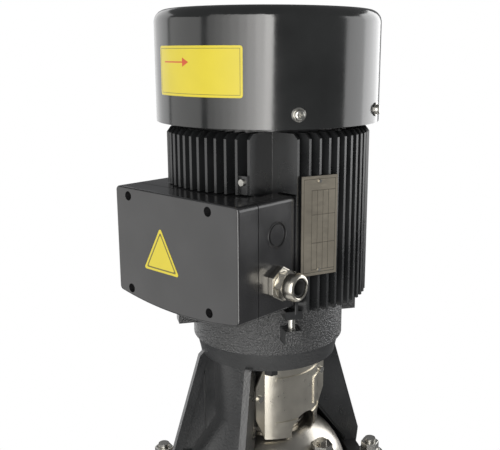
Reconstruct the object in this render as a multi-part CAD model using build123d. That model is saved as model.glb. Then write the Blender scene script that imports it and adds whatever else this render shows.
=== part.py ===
from build123d import *
import os
from math import atan2, cos, degrees, radians, sin, sqrt

# Vertical multistage in-line pump with a finned electric motor on a cast stool.
# Millimetres. +Z is up and the shaft turns about Z. The origin lies on the shaft axis, on the floor.
# The ports lie along Y, inlet at -Y. The terminal box faces -Y and its cable gland faces +X.

# ---- clearances -------------------------------------------------------------------------------
running_gap = 0.05          # radial, shaft in a bush or face seal
seated_gap = 0.03           # radial, pieces pressed or clamped together
loose_gap = 0.3             # pieces that must not touch
screw_gap = 0.5             # radial, screw shank in its clearance hole
overrun = 1.0               # a cut runs this far past its face, and a joined solid into its neighbour

# ---- base plate and staybolts -----------------------------------------------------------------
base_width = 256.0          # along X
base_depth = 200.0          # along Y
base_thickness = 14.0
base_corner_radius = 22.0
base_hole_spacing_x = 215.0
base_hole_spacing_y = 130.0
base_hole_radius = 7.0
staybolt_radius = 6.0
staybolt_clearance = 7.0    # between the bolts and the head's flange
staybolt_boss_radius = 15.0
staybolt_boss_height = 10.0
staybolt_thread_depth = 18.0
staybolt_end = 4.0          # stud end above its nut
washer_thickness = 2.5
washer_radius = 12.0
nut_height = 10.5
nut_across_flats = 18.0

# ---- foot and ports ---------------------------------------------------------------------------
port_height = 90.0
port_span = 300.0           # face to face
port_bore_radius = 25.0
port_bore_depth = 20.0      # machined bore behind each port's face
port_core_radius = 24.0     # cast way behind the machined bore
port_pipe_wall = 5.0
port_collar_radius = 49.5
port_collar_thickness = 3.0
flange_radius = 82.5
flange_thickness = 18.0
flange_circle_diameter = 125.0
flange_hole_radius = 9.0
foot_height = 154.0
foot_rim = 8.0              # foot outside the sleeve
foot_floor = 8.0
cup_wall = 4.0
cup_drop = 18.0             # cup rim below the foot's rim
drain_height = 40.0         # above the foot's bottom
drain_boss_radius = 13.0
drain_boss_reach = 7.0
drain_boss_root = 6.0
drain_collar_radius = 12.0
drain_plug_radius = 6.0
drain_hex_across_flats = 17.0
drain_hex_height = 8.0
drain_shank_length = 12.0

# ---- sleeve and stages ------------------------------------------------------------------------
sleeve_radius = 89.0
sleeve_wall = 2.0
socket_depth = 6.0
spigot_wall = 4.0
spigot_land = 3.0           # spigot beyond its O-ring
seal_ring_section = 1.4     # radius of the O-ring's section
stage_count = 4
stage_pitch = 38.0
chamber_radius = 66.0
chamber_wall = 2.0
chamber_floor = 2.0
eye_radius = 30.0           # outside of the impeller's eye
neck_ring_width = 4.0
neck_ring_lip = 1.5
neck_ring_flange = 3.0
diffuser_radius = 57.0
diffuser_height = 26.0      # above the chamber's floor
diffuser_thickness = 2.0
vane_count = 6
vane_thickness = 1.6
inlet_chamber_height = 16.0
top_chamber_height = 16.0
spider_hub_radius = 16.0
spider_arm_width = 6.0
spider_arm_count = 3
spider_drop = 4.0           # spider below its chamber's top
window_width = 24.0         # outlets in the top chamber's wall
window_margin = 4.0
window_count = 6
bush_wall = 4.0
impeller_radius = 52.0
impeller_sheet = 1.5
impeller_hub_wall = 5.0
impeller_passage = 13.0
impeller_lift = 5.0         # front shroud above the chamber's floor
impeller_hub_reach = 3.0    # hub above the back shroud
impeller_hub_gap = 1.0
blade_count = 6
blade_wrap = 75.0           # degrees from root to tip
blade_root_gap = 4.0        # blade root outside the hub
blade_tip_inset = 1.0
blade_belly_share = 0.38    # how far out the blade is at half its wrap

# ---- pump head, seal and vent -----------------------------------------------------------------
head_flange_rim = 15.0      # head's flange outside the sleeve
head_flange_thickness = 12.0
head_wall = 4.0
head_rib_height = 2.0
head_shelf_width = 8.0
head_spigot_wall = 6.0
dome_foot_inset = 0.5       # from the sleeve's outside
dome_foot_height = 24.0     # above the head's underside
dome_middle_inset = 13.5    # from the dome's foot
dome_middle_height = 55.0
dome_top_radius = 46.0
dome_height = 79.0
seal_bore_radius = 20.0
seal_chamber_wall = 4.0
seal_chamber_depth = 30.0
seal_cover_radius = 40.0
seal_cover_thickness = 6.0
seal_cover_screw_circle = 31.0
seal_cover_screw_radius = 2.5
seal_cover_head_radius = 4.25
seal_cover_head_height = 4.0
seal_cover_spigot = 3.0
seal_shaft_gap = 2.0
seal_ring_radius = 16.0
seal_ring_height = 8.0
seal_carrier_inset = 3.0
seal_carrier_height = 6.0
vent_inset = 11.5           # vent's axis from the dome's foot
vent_boss_radius = 13.0
vent_boss_height = 65.0
vent_stem_radius = 6.0
vent_stem_length = 12.0
vent_hex_across_flats = 20.0
vent_hex_height = 8.0
bleed_stem_radius = 2.5
bleed_stem_length = 8.0
bleed_hex_across_flats = 10.0
bleed_hex_height = 4.0

# ---- motor stool and coupling guards ----------------------------------------------------------
stool_height = 172.0
stool_ring_height = 19.0
stool_ring_gap = 3.5        # ring outside the dome's foot
stool_ring_width = 16.0
stool_ear_radius = 15.0
stool_disc_thickness = 20.0
stool_disc_radius = 77.0
stool_disc_taper = 4.4
stool_bore_radius = 45.0
leg_half_angle = 27.0       # rib planes either side of Y
leg_inner_radius = 54.0
leg_wall = 8.0
leg_spread_height = 77.0    # above the stool's foot, where the web starts to spread
rib_thickness = 7.0
rib_top_overhang = 1.0      # rib's edge outside the disc
rib_foot_overhang = 5.0     # rib's edge outside the ring
rib_root = 4.0              # ribs run this deep into disc and ring
rib_foot_draft = 2.0
rib_foot_height = 33.0
rib_rim = 10.0
rib_pocket_depth = 3.5
rib_pocket_start = 73.0     # radius of the pocket's inner side
rib_pocket_least = 3.0      # pocket's least width at its foot
guard_radius = 55.0
guard_sheet = 1.5
guard_height = 84.0
guard_drop = 21.0           # guard's top edge below the motor flange plane
guard_plane = 33.0          # ears lie in this plane
guard_ear_reach = 56.0
guard_ear_top = 21.0        # slope of the ear's upper corner
guard_ear_bottom = 27.0
guard_notch_radius = 19.0
guard_notch_height = 23.0
guard_screw_reach = 50.6
guard_screw_drop = 55.0
guard_screw_radius = 2.0
guard_screw_depth = 7.0
guard_head_radius = 3.6
guard_head_height = 2.4
guard_pad_height = 20.0
guard_pad_width = 12.0
guard_pad_depth = 10.0
guard_bend_inset = 1.0      # ear runs this far into the arch
guard_bead_height = 1.2
guard_bead_width = 4.0
guard_bead_skin = 0.2       # sheet left inside a bead
guard_bead_end_angle = 12.0 # bead ends before the ear
guard_bead_inset = 17.0     # beads from the guard's top and bottom edges
guard_panel_width = 17.0
guard_panel_height = 30.0
guard_panel_azimuth = 24.0

# ---- coupling and shafts ----------------------------------------------------------------------
pump_shaft_radius = 8.0
motor_shaft_radius = 14.0
shaft_extension = 60.0
pump_shaft_tail = 20.0      # shaft below the cup's rim
shaft_nut_across_flats = 24.0
shaft_nut_drop = 3.0
coupling_radius = 29.0
coupling_height = 72.0
coupling_split = 2.0
coupling_drop = 18.0        # coupling's top below the motor flange plane
coupling_screw_reach = 21.5
coupling_screw_radius = 3.0
coupling_head_radius = 5.0
coupling_head_height = 6.0
coupling_seat = 11.0
coupling_pin_radius = 2.5
coupling_pin_rise = 12.0
coupling_pin_reach = 21.75

# ---- motor ------------------------------------------------------------------------------------
spigot_radius = 55.0
spigot_height = 3.5
flange_screw_circle_radius = 65.0
flange_screw_radius = 4.0
flange_screw_across_flats = 13.0
flange_screw_head = 5.5
flange_screw_bite = 12.0
shield_height = 43.0
shield_floor = 12.0
shield_step = 1.0           # shield's floor inside its rim
housing_wall = 9.0          # around the lower bearing
shaft_hole_gap = 1.0
shield_wall = 12.0
lug_azimuth = 57.0
lug_reach = 98.0
lug_width = 17.0
lug_height = 15.0
lug_base = 16.0             # lug's bottom above the motor flange plane
frame_lug_height = 8.0
frame_lug_drop = 7.0        # lug's bottom below the fins
tie_screw_drop = 2.0        # screw's end below the fins
tie_screw_radius = 3.5
frame_bore_radius = 76.0
frame_wall = 4.0
fin_height = 171.0
fin_start = 50.0            # fins' lower ends above the motor flange plane
fin_tip_radius = 103.0
fin_pitch = 10.0
fin_thickness = 3.0
fins_per_side = 12
fin_end_chamfer = 5.0
fin_root = 4.0
stator_inner_radius = 48.0
stator_height = 100.0
stator_start = 76.0         # above the motor flange plane
winding_height = 24.0
winding_wall = 20.0
winding_inset = 3.0
end_ring_inset = 6.0        # rotor's end rings
end_ring_width = 8.0
end_ring_height = 8.0
air_gap = 0.5
rear_shield_thickness = 12.0
rear_spigot = 6.0
rear_housing_wall = 8.0
rear_housing_drop = 4.0
rear_shield_bore_depth = 20.0
bearing_outer_radius = 31.0
bearing_bore_radius = 15.0
bearing_width = 16.0
bearing_ring = 4.5
bearing_start = 14.0        # lower bearing above the motor flange plane
bearing_shoulder = 2.0      # shaft seat past the upper bearing
ball_groove = 1.0
ball_count = 8
rotor_shaft_radius = 20.0
fan_seat_step = 2.0
fan_cover_radius = 112.5
fan_cover_wall = 2.0
fan_cover_height = 107.0
fan_cover_overlap = 5.0     # cover's lower edge above the fins
fan_cover_shoulder = 12.0
fan_cover_screw_rise = 13.0
fan_cover_screw_azimuths = (56.0, 109.0, 236.0, 289.0)
fan_cover_screw_radius = 2.5
fan_cover_screw_depth = 12.0
fan_cover_washer_radius = 6.5
fan_cover_washer_lift = 0.2
fan_cover_washer_thickness = 1.2
fan_cover_head_radius = 4.9
fan_cover_head_height = 3.8
fan_cover_lug_width = 16.0
fan_cover_lug_height = 24.0
fan_cover_lug_root = 6.0
grille_rings = 4
grille_slot = 6.0
grille_pitch = 13.0
grille_inner_radius = 36.0
grille_spokes = 6
grille_spoke_width = 10.0
fan_radius = 86.0
fan_hub_radius = 20.0
fan_hub_drop = 8.0
fan_disc_inset = 6.0
fan_blade_thickness = 2.4
fan_blade_root = 3.0
fan_blade_height = 34.0
fan_blade_count = 7
fan_start = 26.0            # fan disc above the rear shield
fan_disc = 4.0

# ---- terminal box, gland and plate ------------------------------------------------------------
box_half_width = 84.6
box_height = 107.0
box_start = 57.5            # above the motor flange plane
box_front = 131.5           # cover face from the shaft axis
box_cover_depth = 25.0
box_back = 52.0
box_wall = 3.5
box_pad = 2.0               # frame's pad under the box
box_pad_margin = 8.0
box_air = 1.0               # fins around the box
box_edge_round = 4.5
box_front_round = 2.0
box_bow = 8.0
gasket_thickness = 1.0
gasket_inset = 1.5
gasket_width = 16.0
cover_screw_left = 65.0     # screws from the box's middle
cover_screw_right = 47.0
cover_screw_top_inset = 8.5
cover_screw_bottom_inset = 4.5
cover_screw_radius = 2.0
cover_screw_depth = 11.0
cover_head_radius = 3.8
cover_head_height = 3.5
cover_well_radius = 4.6
cover_well_floor = 4.0
cover_well_wall = 2.2
cover_well_drop = 2.0
post_width = 10.0
post_depth = 20.0
terminal_block_width = 64.0
terminal_block_height = 46.0
terminal_block_depth = 10.0
terminal_pitch_x = 20.0
terminal_pitch_z = 22.0
terminal_radius = 2.5
terminal_reach = 7.0
terminal_floor = 2.0
terminal_nut_across_flats = 8.0
terminal_nut_height = 3.0
gland_back = 79.0           # gland axis from the shaft axis, along -Y
gland_rise = 29.0           # gland axis above the box's bottom
gland_hex_across_flats = 29.0
gland_hex_height = 6.0
gland_neck = 5.0
gland_nut_radius = 14.0
gland_nut_height = 15.0
gland_shank_radius = 12.0
gland_shank_inside = 8.0
gland_lock_nut_height = 4.0
gland_dome_across_flats = 28.0
gland_dome_hex_height = 8.0
gland_dome_crown = 5.0
gland_dome_inset = 3.0
gland_bore_radius = 7.0
knockout_radius = 11.5
knockout_back = 81.0
knockout_rise = 74.5
knockout_recess = 1.2
knockout_groove = 2.0
plate_azimuth = 70.0
plate_width = 39.0
plate_height = 95.0
plate_thickness = 0.8
plate_start = 87.0          # above the motor flange plane
plate_margin = 1.0
rivet_radius = 1.6
rivet_inset = 5.0
rivet_height = 1.0
earth_pad_x = 50.0
earth_pad_width = 10.0
earth_pad_reach = 90.0
earth_pad_height = 17.0
earth_pad_start = 166.0     # above the motor flange plane
earth_screw_radius = 2.0
earth_screw_drop = 6.0
earth_screw_depth = 7.0
earth_head_radius = 3.2
earth_head_height = 2.2

# ---- radii that follow from the sleeve and the motor's bore ------------------------------------
foot_radius = sleeve_radius + foot_rim
spigot_outer = sleeve_radius - sleeve_wall - seated_gap
head_flange_radius = sleeve_radius + head_flange_rim
dome_foot_radius = sleeve_radius - dome_foot_inset
dome_middle_radius = dome_foot_radius - dome_middle_inset
vent_radius = dome_foot_radius - vent_inset
staybolt_circle_radius = head_flange_radius + staybolt_clearance + staybolt_radius
stool_ring_inner = dome_foot_radius + stool_ring_gap
stool_ring_outer = stool_ring_inner + stool_ring_width
leg_outer_radius = leg_inner_radius + leg_wall
rib_top_radius = stool_disc_radius + rib_top_overhang
rib_foot_radius = stool_ring_outer + rib_foot_overhang
frame_core_radius = frame_bore_radius + frame_wall
shield_radius = frame_core_radius
box_saddle = frame_core_radius + box_pad
box_saddle_half_width = sqrt(box_saddle ** 2 - box_back ** 2)
plate_radius = fin_tip_radius - plate_thickness
fan_seat_radius = motor_shaft_radius - fan_seat_step

# ---- heights that follow from the stack -------------------------------------------------------
foot_top = base_thickness + foot_height
cup_top = foot_top - cup_drop
stages_bottom = cup_top + inlet_chamber_height
stages_top = stages_bottom + stage_count * stage_pitch
stack_top = stages_top + top_chamber_height
head_bottom = stack_top + head_rib_height
stool_bottom = head_bottom + head_flange_thickness
dome_top = head_bottom + dome_height
motor_plane = stool_bottom + stool_height
shield_top = motor_plane + shield_height
fin_bottom = motor_plane + fin_start
fin_top = fin_bottom + fin_height
rear_shield_top = fin_top + rear_shield_thickness
cover_bottom = fin_top + fan_cover_overlap
cover_top = cover_bottom + fan_cover_height
cover_inner_radius = fan_cover_radius - fan_cover_wall
stator_bottom = motor_plane + stator_start
stator_top = stator_bottom + stator_height
rear_bearing_bottom = rear_shield_top - bearing_width
front_bearing_bottom = motor_plane + bearing_start
coupling_top = motor_plane - coupling_drop
coupling_bottom = coupling_top - coupling_height
motor_shaft_bottom = motor_plane - shaft_extension
pump_shaft_top = motor_shaft_bottom - loose_gap
guard_top = motor_plane - guard_drop
guard_bottom = guard_top - guard_height
box_bottom = motor_plane + box_start
box_top = box_bottom + box_height
box_seam = box_front - box_cover_depth
base_front = box_seam - gasket_thickness

UPRIGHT = (Align.CENTER, Align.CENTER, Align.MIN)
SIDES = (-1, 1)
corner_angles = (45, 135, 225, 315)


# ---- shared shapes ----------------------------------------------------------------------------
def drum(radius, bottom, top):
    """Upright cylinder about the Z axis."""
    return Pos(0, 0, bottom) * Cylinder(radius, top - bottom, align=UPRIGHT)


def ring(outer, inner, bottom, top):
    """Upright tube about the Z axis."""
    return drum(outer, bottom, top) - drum(inner, bottom - overrun, top + overrun)


def turned(*points):
    """Solid of revolution about Z from (radius, height) points."""
    return revolve(Plane.XZ * make_face(Polyline(*points, close=True)), Axis.Z)


def block(x_low, x_high, y_low, y_high, z_low, z_high):
    """Box between six planes."""
    size = Box(x_high - x_low, y_high - y_low, z_high - z_low, align=(Align.MIN, Align.MIN, Align.MIN))
    return Pos(x_low, y_low, z_low) * size


def hexagon(across_flats, bottom, top):
    """Upright hexagonal prism about the Z axis."""
    outline = RegularPolygon(across_flats / 2, side_count=6, major_radius=False)
    return Pos(0, 0, bottom) * extrude(outline, top - bottom)


def around(radius, angle):
    """Place at a radius and an angle from +X about the Z axis."""
    return Rot(0, 0, angle) * Pos(radius, 0, 0)


def facing(azimuth):
    """Turn +X to an azimuth counted from -Y towards +X."""
    return Rot(0, 0, azimuth - 90)


def outward():
    """Turn +Z to +X."""
    return Rot(0, 90, 0)


def group(solids):
    """Separate solids kept in one node."""
    return Compound(children=[solid for solid in solids])


# ---- pump foot and base -----------------------------------------------------------------------
def make_base_plate():
    outline = RectangleRounded(base_width, base_depth, base_corner_radius)
    plate = extrude(outline, base_thickness)
    boss_top = base_thickness + staybolt_boss_height
    for angle in corner_angles:
        boss = drum(staybolt_boss_radius, 0, boss_top)
        hole = drum(staybolt_radius + seated_gap, boss_top - staybolt_thread_depth, boss_top + overrun)
        plate += around(staybolt_circle_radius, angle) * boss
        plate -= around(staybolt_circle_radius, angle) * hole
    for x in SIDES:
        for y in SIDES:
            place = Pos(x * base_hole_spacing_x / 2, y * base_hole_spacing_y / 2, 0)
            plate -= place * drum(base_hole_radius, -overrun, base_thickness + overrun)
    return plate


def along_port(side):
    """Turn +Z to the port's direction, at the port's height."""
    return Pos(0, 0, port_height) * Rot(-90 * side, 0, 0)


def make_pump_foot():
    pipe_radius = port_bore_radius + port_pipe_wall
    face = port_span / 2
    core_end = face - port_bore_depth
    cavity_bottom = base_thickness + foot_floor
    cup_radius = chamber_radius - cup_wall
    spigot_top = foot_top + seal_ring_section * 2 + spigot_land
    drain_axis = Pos(0, 0, base_thickness + drain_height) * outward()
    drain_seat = foot_radius + drain_boss_reach
    body = drum(foot_radius, base_thickness, foot_top) + drum(spigot_outer, foot_top - overrun, spigot_top)
    for side in SIDES:
        body += along_port(side) * drum(pipe_radius, foot_radius / 2, face)
        body += along_port(side) * drum(port_collar_radius, face - port_collar_thickness, face)
    body += drain_axis * drum(drain_boss_radius, foot_radius - drain_boss_root, drain_seat)
    body -= ring(spigot_outer - spigot_wall, chamber_radius, cavity_bottom, spigot_top + overrun)
    body += along_port(-1) * drum(pipe_radius, chamber_radius / 2, foot_radius - foot_rim / 2)
    body -= drum(cup_radius, cavity_bottom, spigot_top + overrun)
    body -= drum(chamber_radius + overrun, cup_top, spigot_top + overrun)
    body -= ring(sleeve_radius + seated_gap, spigot_outer, foot_top - socket_depth, foot_top + overrun)
    body -= ring(spigot_outer + overrun, spigot_outer - 2 * seal_ring_section,
                 foot_top, foot_top + 2 * seal_ring_section)
    body -= along_port(-1) * drum(port_core_radius, chamber_radius / 2, face)
    body -= along_port(1) * drum(port_core_radius, chamber_radius + overrun, face)
    for side in SIDES:
        body -= along_port(side) * drum(port_bore_radius, core_end, face + overrun)
    body -= drain_axis * drum(drain_plug_radius + seated_gap, chamber_radius + overrun, drain_seat + overrun)
    return body


def make_port_flange(side):
    back_of_collar = port_span / 2 - port_collar_thickness
    bottom = back_of_collar - flange_thickness
    hub = port_bore_radius + port_pipe_wall + loose_gap
    plate = ring(flange_radius, hub, bottom, back_of_collar)
    for angle in corner_angles:
        plate -= around(flange_circle_diameter / 2, angle) * drum(
            flange_hole_radius, bottom - overrun, back_of_collar + overrun)
    return along_port(side) * plate


def make_drain_plug():
    seat = foot_radius + drain_boss_reach
    head = hexagon(drain_hex_across_flats, seat, seat + drain_hex_height)
    collar = drum(drain_collar_radius, seat, seat + drain_hex_height / 3)
    shank = drum(drain_plug_radius, seat - drain_shank_length, seat)
    return Pos(0, 0, base_thickness + drain_height) * outward() * (head + collar + shank)


# ---- sleeve and stages ------------------------------------------------------------------------
def make_outer_sleeve():
    return ring(sleeve_radius, sleeve_radius - sleeve_wall, foot_top - socket_depth, head_bottom + socket_depth)


def make_sleeve_seal_rings():
    centre_radius = spigot_outer - seal_ring_section
    lower = Pos(0, 0, foot_top + seal_ring_section) * Torus(centre_radius, seal_ring_section)
    upper = Pos(0, 0, head_bottom - seal_ring_section) * Torus(centre_radius, seal_ring_section)
    return group([lower, upper])


def spider(bottom, height):
    """Hub with three arms that carries a shaft bush inside a chamber."""
    hub = drum(spider_hub_radius, bottom, bottom + height)
    rim = chamber_radius - chamber_wall / 2
    arm = block(0, rim, -spider_arm_width / 2, spider_arm_width / 2, bottom, bottom + height / 2)
    for index in range(spider_arm_count):
        hub += Rot(0, 0, 360 / spider_arm_count * index) * arm
    return hub - drum(pump_shaft_radius + bush_wall, bottom - overrun, bottom + height + overrun)


def make_inlet_chamber():
    shell = ring(chamber_radius, chamber_radius - chamber_wall, cup_top, stages_bottom)
    return shell + spider(cup_top, inlet_chamber_height - spider_drop)


def make_stage_chamber(index):
    bottom = stages_bottom + index * stage_pitch
    top = bottom + stage_pitch
    inner = chamber_radius - chamber_wall
    hub_hole = pump_shaft_radius + impeller_hub_wall + impeller_hub_gap
    shell = ring(chamber_radius, inner, bottom, top)
    shell += ring(inner + overrun, eye_radius + neck_ring_width, bottom, bottom + chamber_floor)
    plate_top = bottom + diffuser_height + diffuser_thickness
    shell += ring(diffuser_radius, hub_hole, bottom + diffuser_height, plate_top)
    for vane in range(vane_count):
        guide = block(eye_radius, inner + overrun, -vane_thickness / 2, vane_thickness / 2,
                      plate_top - overrun, top)
        shell += Rot(0, 0, 360 / vane_count * vane) * guide
    return shell


def make_neck_ring(index):
    bottom = stages_bottom + index * stage_pitch
    bore = eye_radius + running_gap
    seat = eye_radius + neck_ring_width - seated_gap
    lip_bottom = bottom + chamber_floor
    return ring(seat, bore, bottom, lip_bottom + neck_ring_lip) + ring(
        seat + neck_ring_flange, bore, lip_bottom, lip_bottom + neck_ring_lip)


def make_top_chamber():
    shell = ring(chamber_radius, chamber_radius - chamber_wall, stages_top, stack_top)
    window = block(0, chamber_radius + overrun, -window_width / 2, window_width / 2,
                   stages_top + window_margin, stack_top - window_margin)
    for index in range(window_count):
        shell -= Rot(0, 0, 360 / window_count * (index + 0.5)) * window
    return shell + spider(stages_top, top_chamber_height - spider_drop)


def make_shaft_bushes():
    outer = pump_shaft_radius + bush_wall - seated_gap
    inner = pump_shaft_radius + running_gap
    lower = ring(outer, inner, cup_top, stages_bottom - spider_drop)
    upper = ring(outer, inner, stages_top, stack_top - spider_drop)
    return group([lower, upper])


def blade(bottom, top, inner_radius, outer_radius, thickness, wrap):
    """Curved blade that sweeps back from its root to its tip."""
    angles = (0, wrap / 2, wrap)
    middle_radius = inner_radius + (outer_radius - inner_radius) * blade_belly_share
    radii = (inner_radius, middle_radius, outer_radius)
    points = [(radius * cos(radians(a)), -radius * sin(radians(a))) for radius, a in zip(radii, angles)]
    path = ThreePointArc(*points)
    outline = make_face(offset(path, thickness / 2, side=Side.BOTH))
    return Pos(0, 0, bottom) * extrude(outline, top - bottom)


def make_impeller(index):
    floor = stages_bottom + index * stage_pitch + chamber_floor
    front = floor + impeller_lift
    back = front + impeller_sheet + impeller_passage
    hub_outer = pump_shaft_radius + impeller_hub_wall
    bore = pump_shaft_radius + seated_gap
    eye_wall = eye_radius - impeller_sheet
    shroud = ring(impeller_radius, eye_wall, front, front + impeller_sheet)
    shroud += ring(eye_radius, eye_wall, floor - chamber_floor, front + impeller_sheet)
    wheel = ring(impeller_radius, bore, back, back + impeller_sheet)
    wheel += ring(hub_outer, bore, front, back + impeller_sheet + impeller_hub_reach)
    for number in range(blade_count):
        vane = blade(front + impeller_sheet / 2, back + impeller_sheet / 2, hub_outer + blade_root_gap,
                     impeller_radius - blade_tip_inset, impeller_sheet, blade_wrap)
        wheel += Rot(0, 0, 360 / blade_count * number) * vane
    return shroud + wheel


# ---- pump head, seal and vent -----------------------------------------------------------------
def make_pump_head():
    rim_height = head_bottom + head_flange_thickness
    outer_dome = ThreePointArc(
        (dome_foot_radius, head_bottom + dome_foot_height),
        (dome_middle_radius, head_bottom + dome_middle_height),
        (dome_top_radius, dome_top))
    inner_dome = ThreePointArc(
        (dome_top_radius - head_wall, dome_top - head_wall),
        (dome_middle_radius - head_wall, head_bottom + dome_middle_height - head_wall),
        (dome_foot_radius - head_wall, head_bottom + dome_foot_height - head_wall))
    seal_outer = seal_bore_radius + seal_chamber_wall
    chamber_end = dome_top - seal_chamber_depth
    shelf_inner = chamber_radius - head_shelf_width
    shelf_top = head_bottom + head_wall
    outside = Polyline(
        (head_flange_radius, head_bottom), (head_flange_radius, rim_height),
        (dome_foot_radius, rim_height), outer_dome @ 0)
    inside = Polyline(
        outer_dome @ 1, (seal_bore_radius, dome_top), (seal_bore_radius, chamber_end),
        (seal_outer, chamber_end), (seal_outer, dome_top - head_wall), inner_dome @ 0)
    underside = Polyline(
        inner_dome @ 1, (dome_foot_radius - head_wall, shelf_top), (shelf_inner, shelf_top),
        (shelf_inner, stack_top), (chamber_radius, stack_top), (chamber_radius, head_bottom),
        (head_flange_radius, head_bottom))
    body = revolve(Plane.XZ * make_face(outside + outer_dome + inside + inner_dome + underside), Axis.Z)
    spigot_bottom = head_bottom - 2 * seal_ring_section - spigot_land
    body += ring(spigot_outer, spigot_outer - head_spigot_wall, spigot_bottom, head_bottom + overrun)
    body -= ring(sleeve_radius + seated_gap, spigot_outer, head_bottom - overrun, head_bottom + socket_depth)
    body -= ring(spigot_outer + overrun, spigot_outer - 2 * seal_ring_section,
                 head_bottom - 2 * seal_ring_section, head_bottom)
    boss_top = head_bottom + vent_boss_height
    boss = Pos(vent_radius, 0, 0) * drum(vent_boss_radius, head_bottom + dome_foot_height, boss_top)
    inside_dome = revolve(Plane.XZ * make_face(inner_dome + Polyline(
        inner_dome @ 1, (dome_foot_radius - head_wall, head_bottom), (0, head_bottom),
        (0, dome_top - head_wall), inner_dome @ 0)), Axis.Z)
    body += boss - inside_dome
    body -= Pos(vent_radius, 0, 0) * drum(
        vent_stem_radius + seated_gap, head_bottom + dome_foot_height, boss_top + overrun)
    for angle in corner_angles:
        body -= around(seal_cover_screw_circle, angle) * drum(
            seal_cover_screw_radius + seated_gap, dome_top - head_wall - overrun, dome_top + overrun)
    return body


def make_seal_cover():
    top = dome_top + seal_cover_thickness
    bottom = dome_top - seal_cover_spigot
    plate = drum(seal_cover_radius, dome_top, top)
    plate += drum(seal_bore_radius - seated_gap, bottom, dome_top + overrun)
    plate -= drum(pump_shaft_radius + seal_shaft_gap, bottom - overrun, top + overrun)
    plate -= drum(seal_ring_radius + seated_gap, bottom - overrun, dome_top + seal_cover_thickness / 2)
    for angle in corner_angles:
        plate -= around(seal_cover_screw_circle, angle) * drum(
            seal_cover_screw_radius + screw_gap, dome_top - overrun, top + overrun)
    return plate


def make_seal_cover_screws():
    top = dome_top + seal_cover_thickness
    screw = drum(seal_cover_screw_radius, dome_top - head_wall, top)
    screw += drum(seal_cover_head_radius, top, top + seal_cover_head_height)
    return group([around(seal_cover_screw_circle, angle) * screw for angle in corner_angles])


def seal_face():
    """Height of the seal's running face."""
    return dome_top + seal_cover_thickness / 2 - seal_ring_height


def make_seal_stationary_ring():
    bore = pump_shaft_radius + seal_shaft_gap
    return ring(seal_ring_radius, bore, seal_face(), dome_top + seal_cover_thickness / 2)


def make_seal_rotating_ring():
    top = seal_face() - running_gap
    bottom = top - seal_ring_height
    bore = pump_shaft_radius + seated_gap
    head = ring(seal_ring_radius, bore, bottom, top)
    return head + ring(seal_ring_radius - seal_carrier_inset, bore, bottom - seal_carrier_height, bottom)


def make_vent_plug():
    seat = head_bottom + vent_boss_height
    head = Rot(0, 0, 30) * hexagon(vent_hex_across_flats, seat, seat + vent_hex_height)
    stem = drum(vent_stem_radius, seat - vent_stem_length, seat)
    bore = drum(bleed_stem_radius + running_gap, seat + vent_hex_height - bleed_stem_length - overrun,
                seat + vent_hex_height + overrun)
    return Pos(vent_radius, 0, 0) * (head + stem - bore)


def make_bleed_screw():
    seat = head_bottom + vent_boss_height + vent_hex_height
    bottom = seat + running_gap
    head = hexagon(bleed_hex_across_flats, bottom, bottom + bleed_hex_height)
    stem = drum(bleed_stem_radius, seat - bleed_stem_length, bottom + overrun)
    return Pos(vent_radius, 0, 0) * (head + stem)


# ---- staybolts --------------------------------------------------------------------------------
def make_staybolts():
    bottom = base_thickness + staybolt_boss_height - staybolt_thread_depth
    top = stool_bottom + stool_ring_height + washer_thickness + nut_height + staybolt_end
    rod = drum(staybolt_radius, bottom, top)
    return group([around(staybolt_circle_radius, angle) * rod for angle in corner_angles])


def make_staybolt_washers():
    bottom = stool_bottom + stool_ring_height
    washer = ring(washer_radius, staybolt_radius + screw_gap, bottom, bottom + washer_thickness)
    return group([around(staybolt_circle_radius, angle) * washer for angle in corner_angles])


def make_staybolt_nuts():
    bottom = stool_bottom + stool_ring_height + washer_thickness
    nut = hexagon(nut_across_flats, bottom, bottom + nut_height)
    nut -= drum(staybolt_radius + seated_gap, bottom - overrun, bottom + nut_height + overrun)
    return group([around(staybolt_circle_radius, angle) * nut for angle in corner_angles])


# ---- motor stool ------------------------------------------------------------------------------
def leg_web():
    """Curved web of one leg about +Y, spreading over the pump head to the ring."""
    spread = stool_bottom + leg_spread_height
    ring_top = stool_bottom + stool_ring_height
    ring_wall = stool_ring_outer - stool_ring_inner
    top = motor_plane - stool_disc_thickness / 2
    outline = make_face(Polyline(
        (leg_inner_radius, top), (leg_inner_radius, spread),
        (stool_ring_inner + ring_wall / 4, ring_top + leg_wall / 4),
        (stool_ring_inner + ring_wall / 4, ring_top - leg_wall / 2),
        (stool_ring_inner + leg_wall, ring_top - leg_wall / 2), (stool_ring_inner + leg_wall, ring_top + leg_wall),
        (leg_outer_radius, spread + leg_wall / 2), (leg_outer_radius, top), close=True))
    return Rot(0, 0, 90 - leg_half_angle) * revolve(Plane.XZ * outline, Axis.Z, 2 * leg_half_angle)


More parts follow.
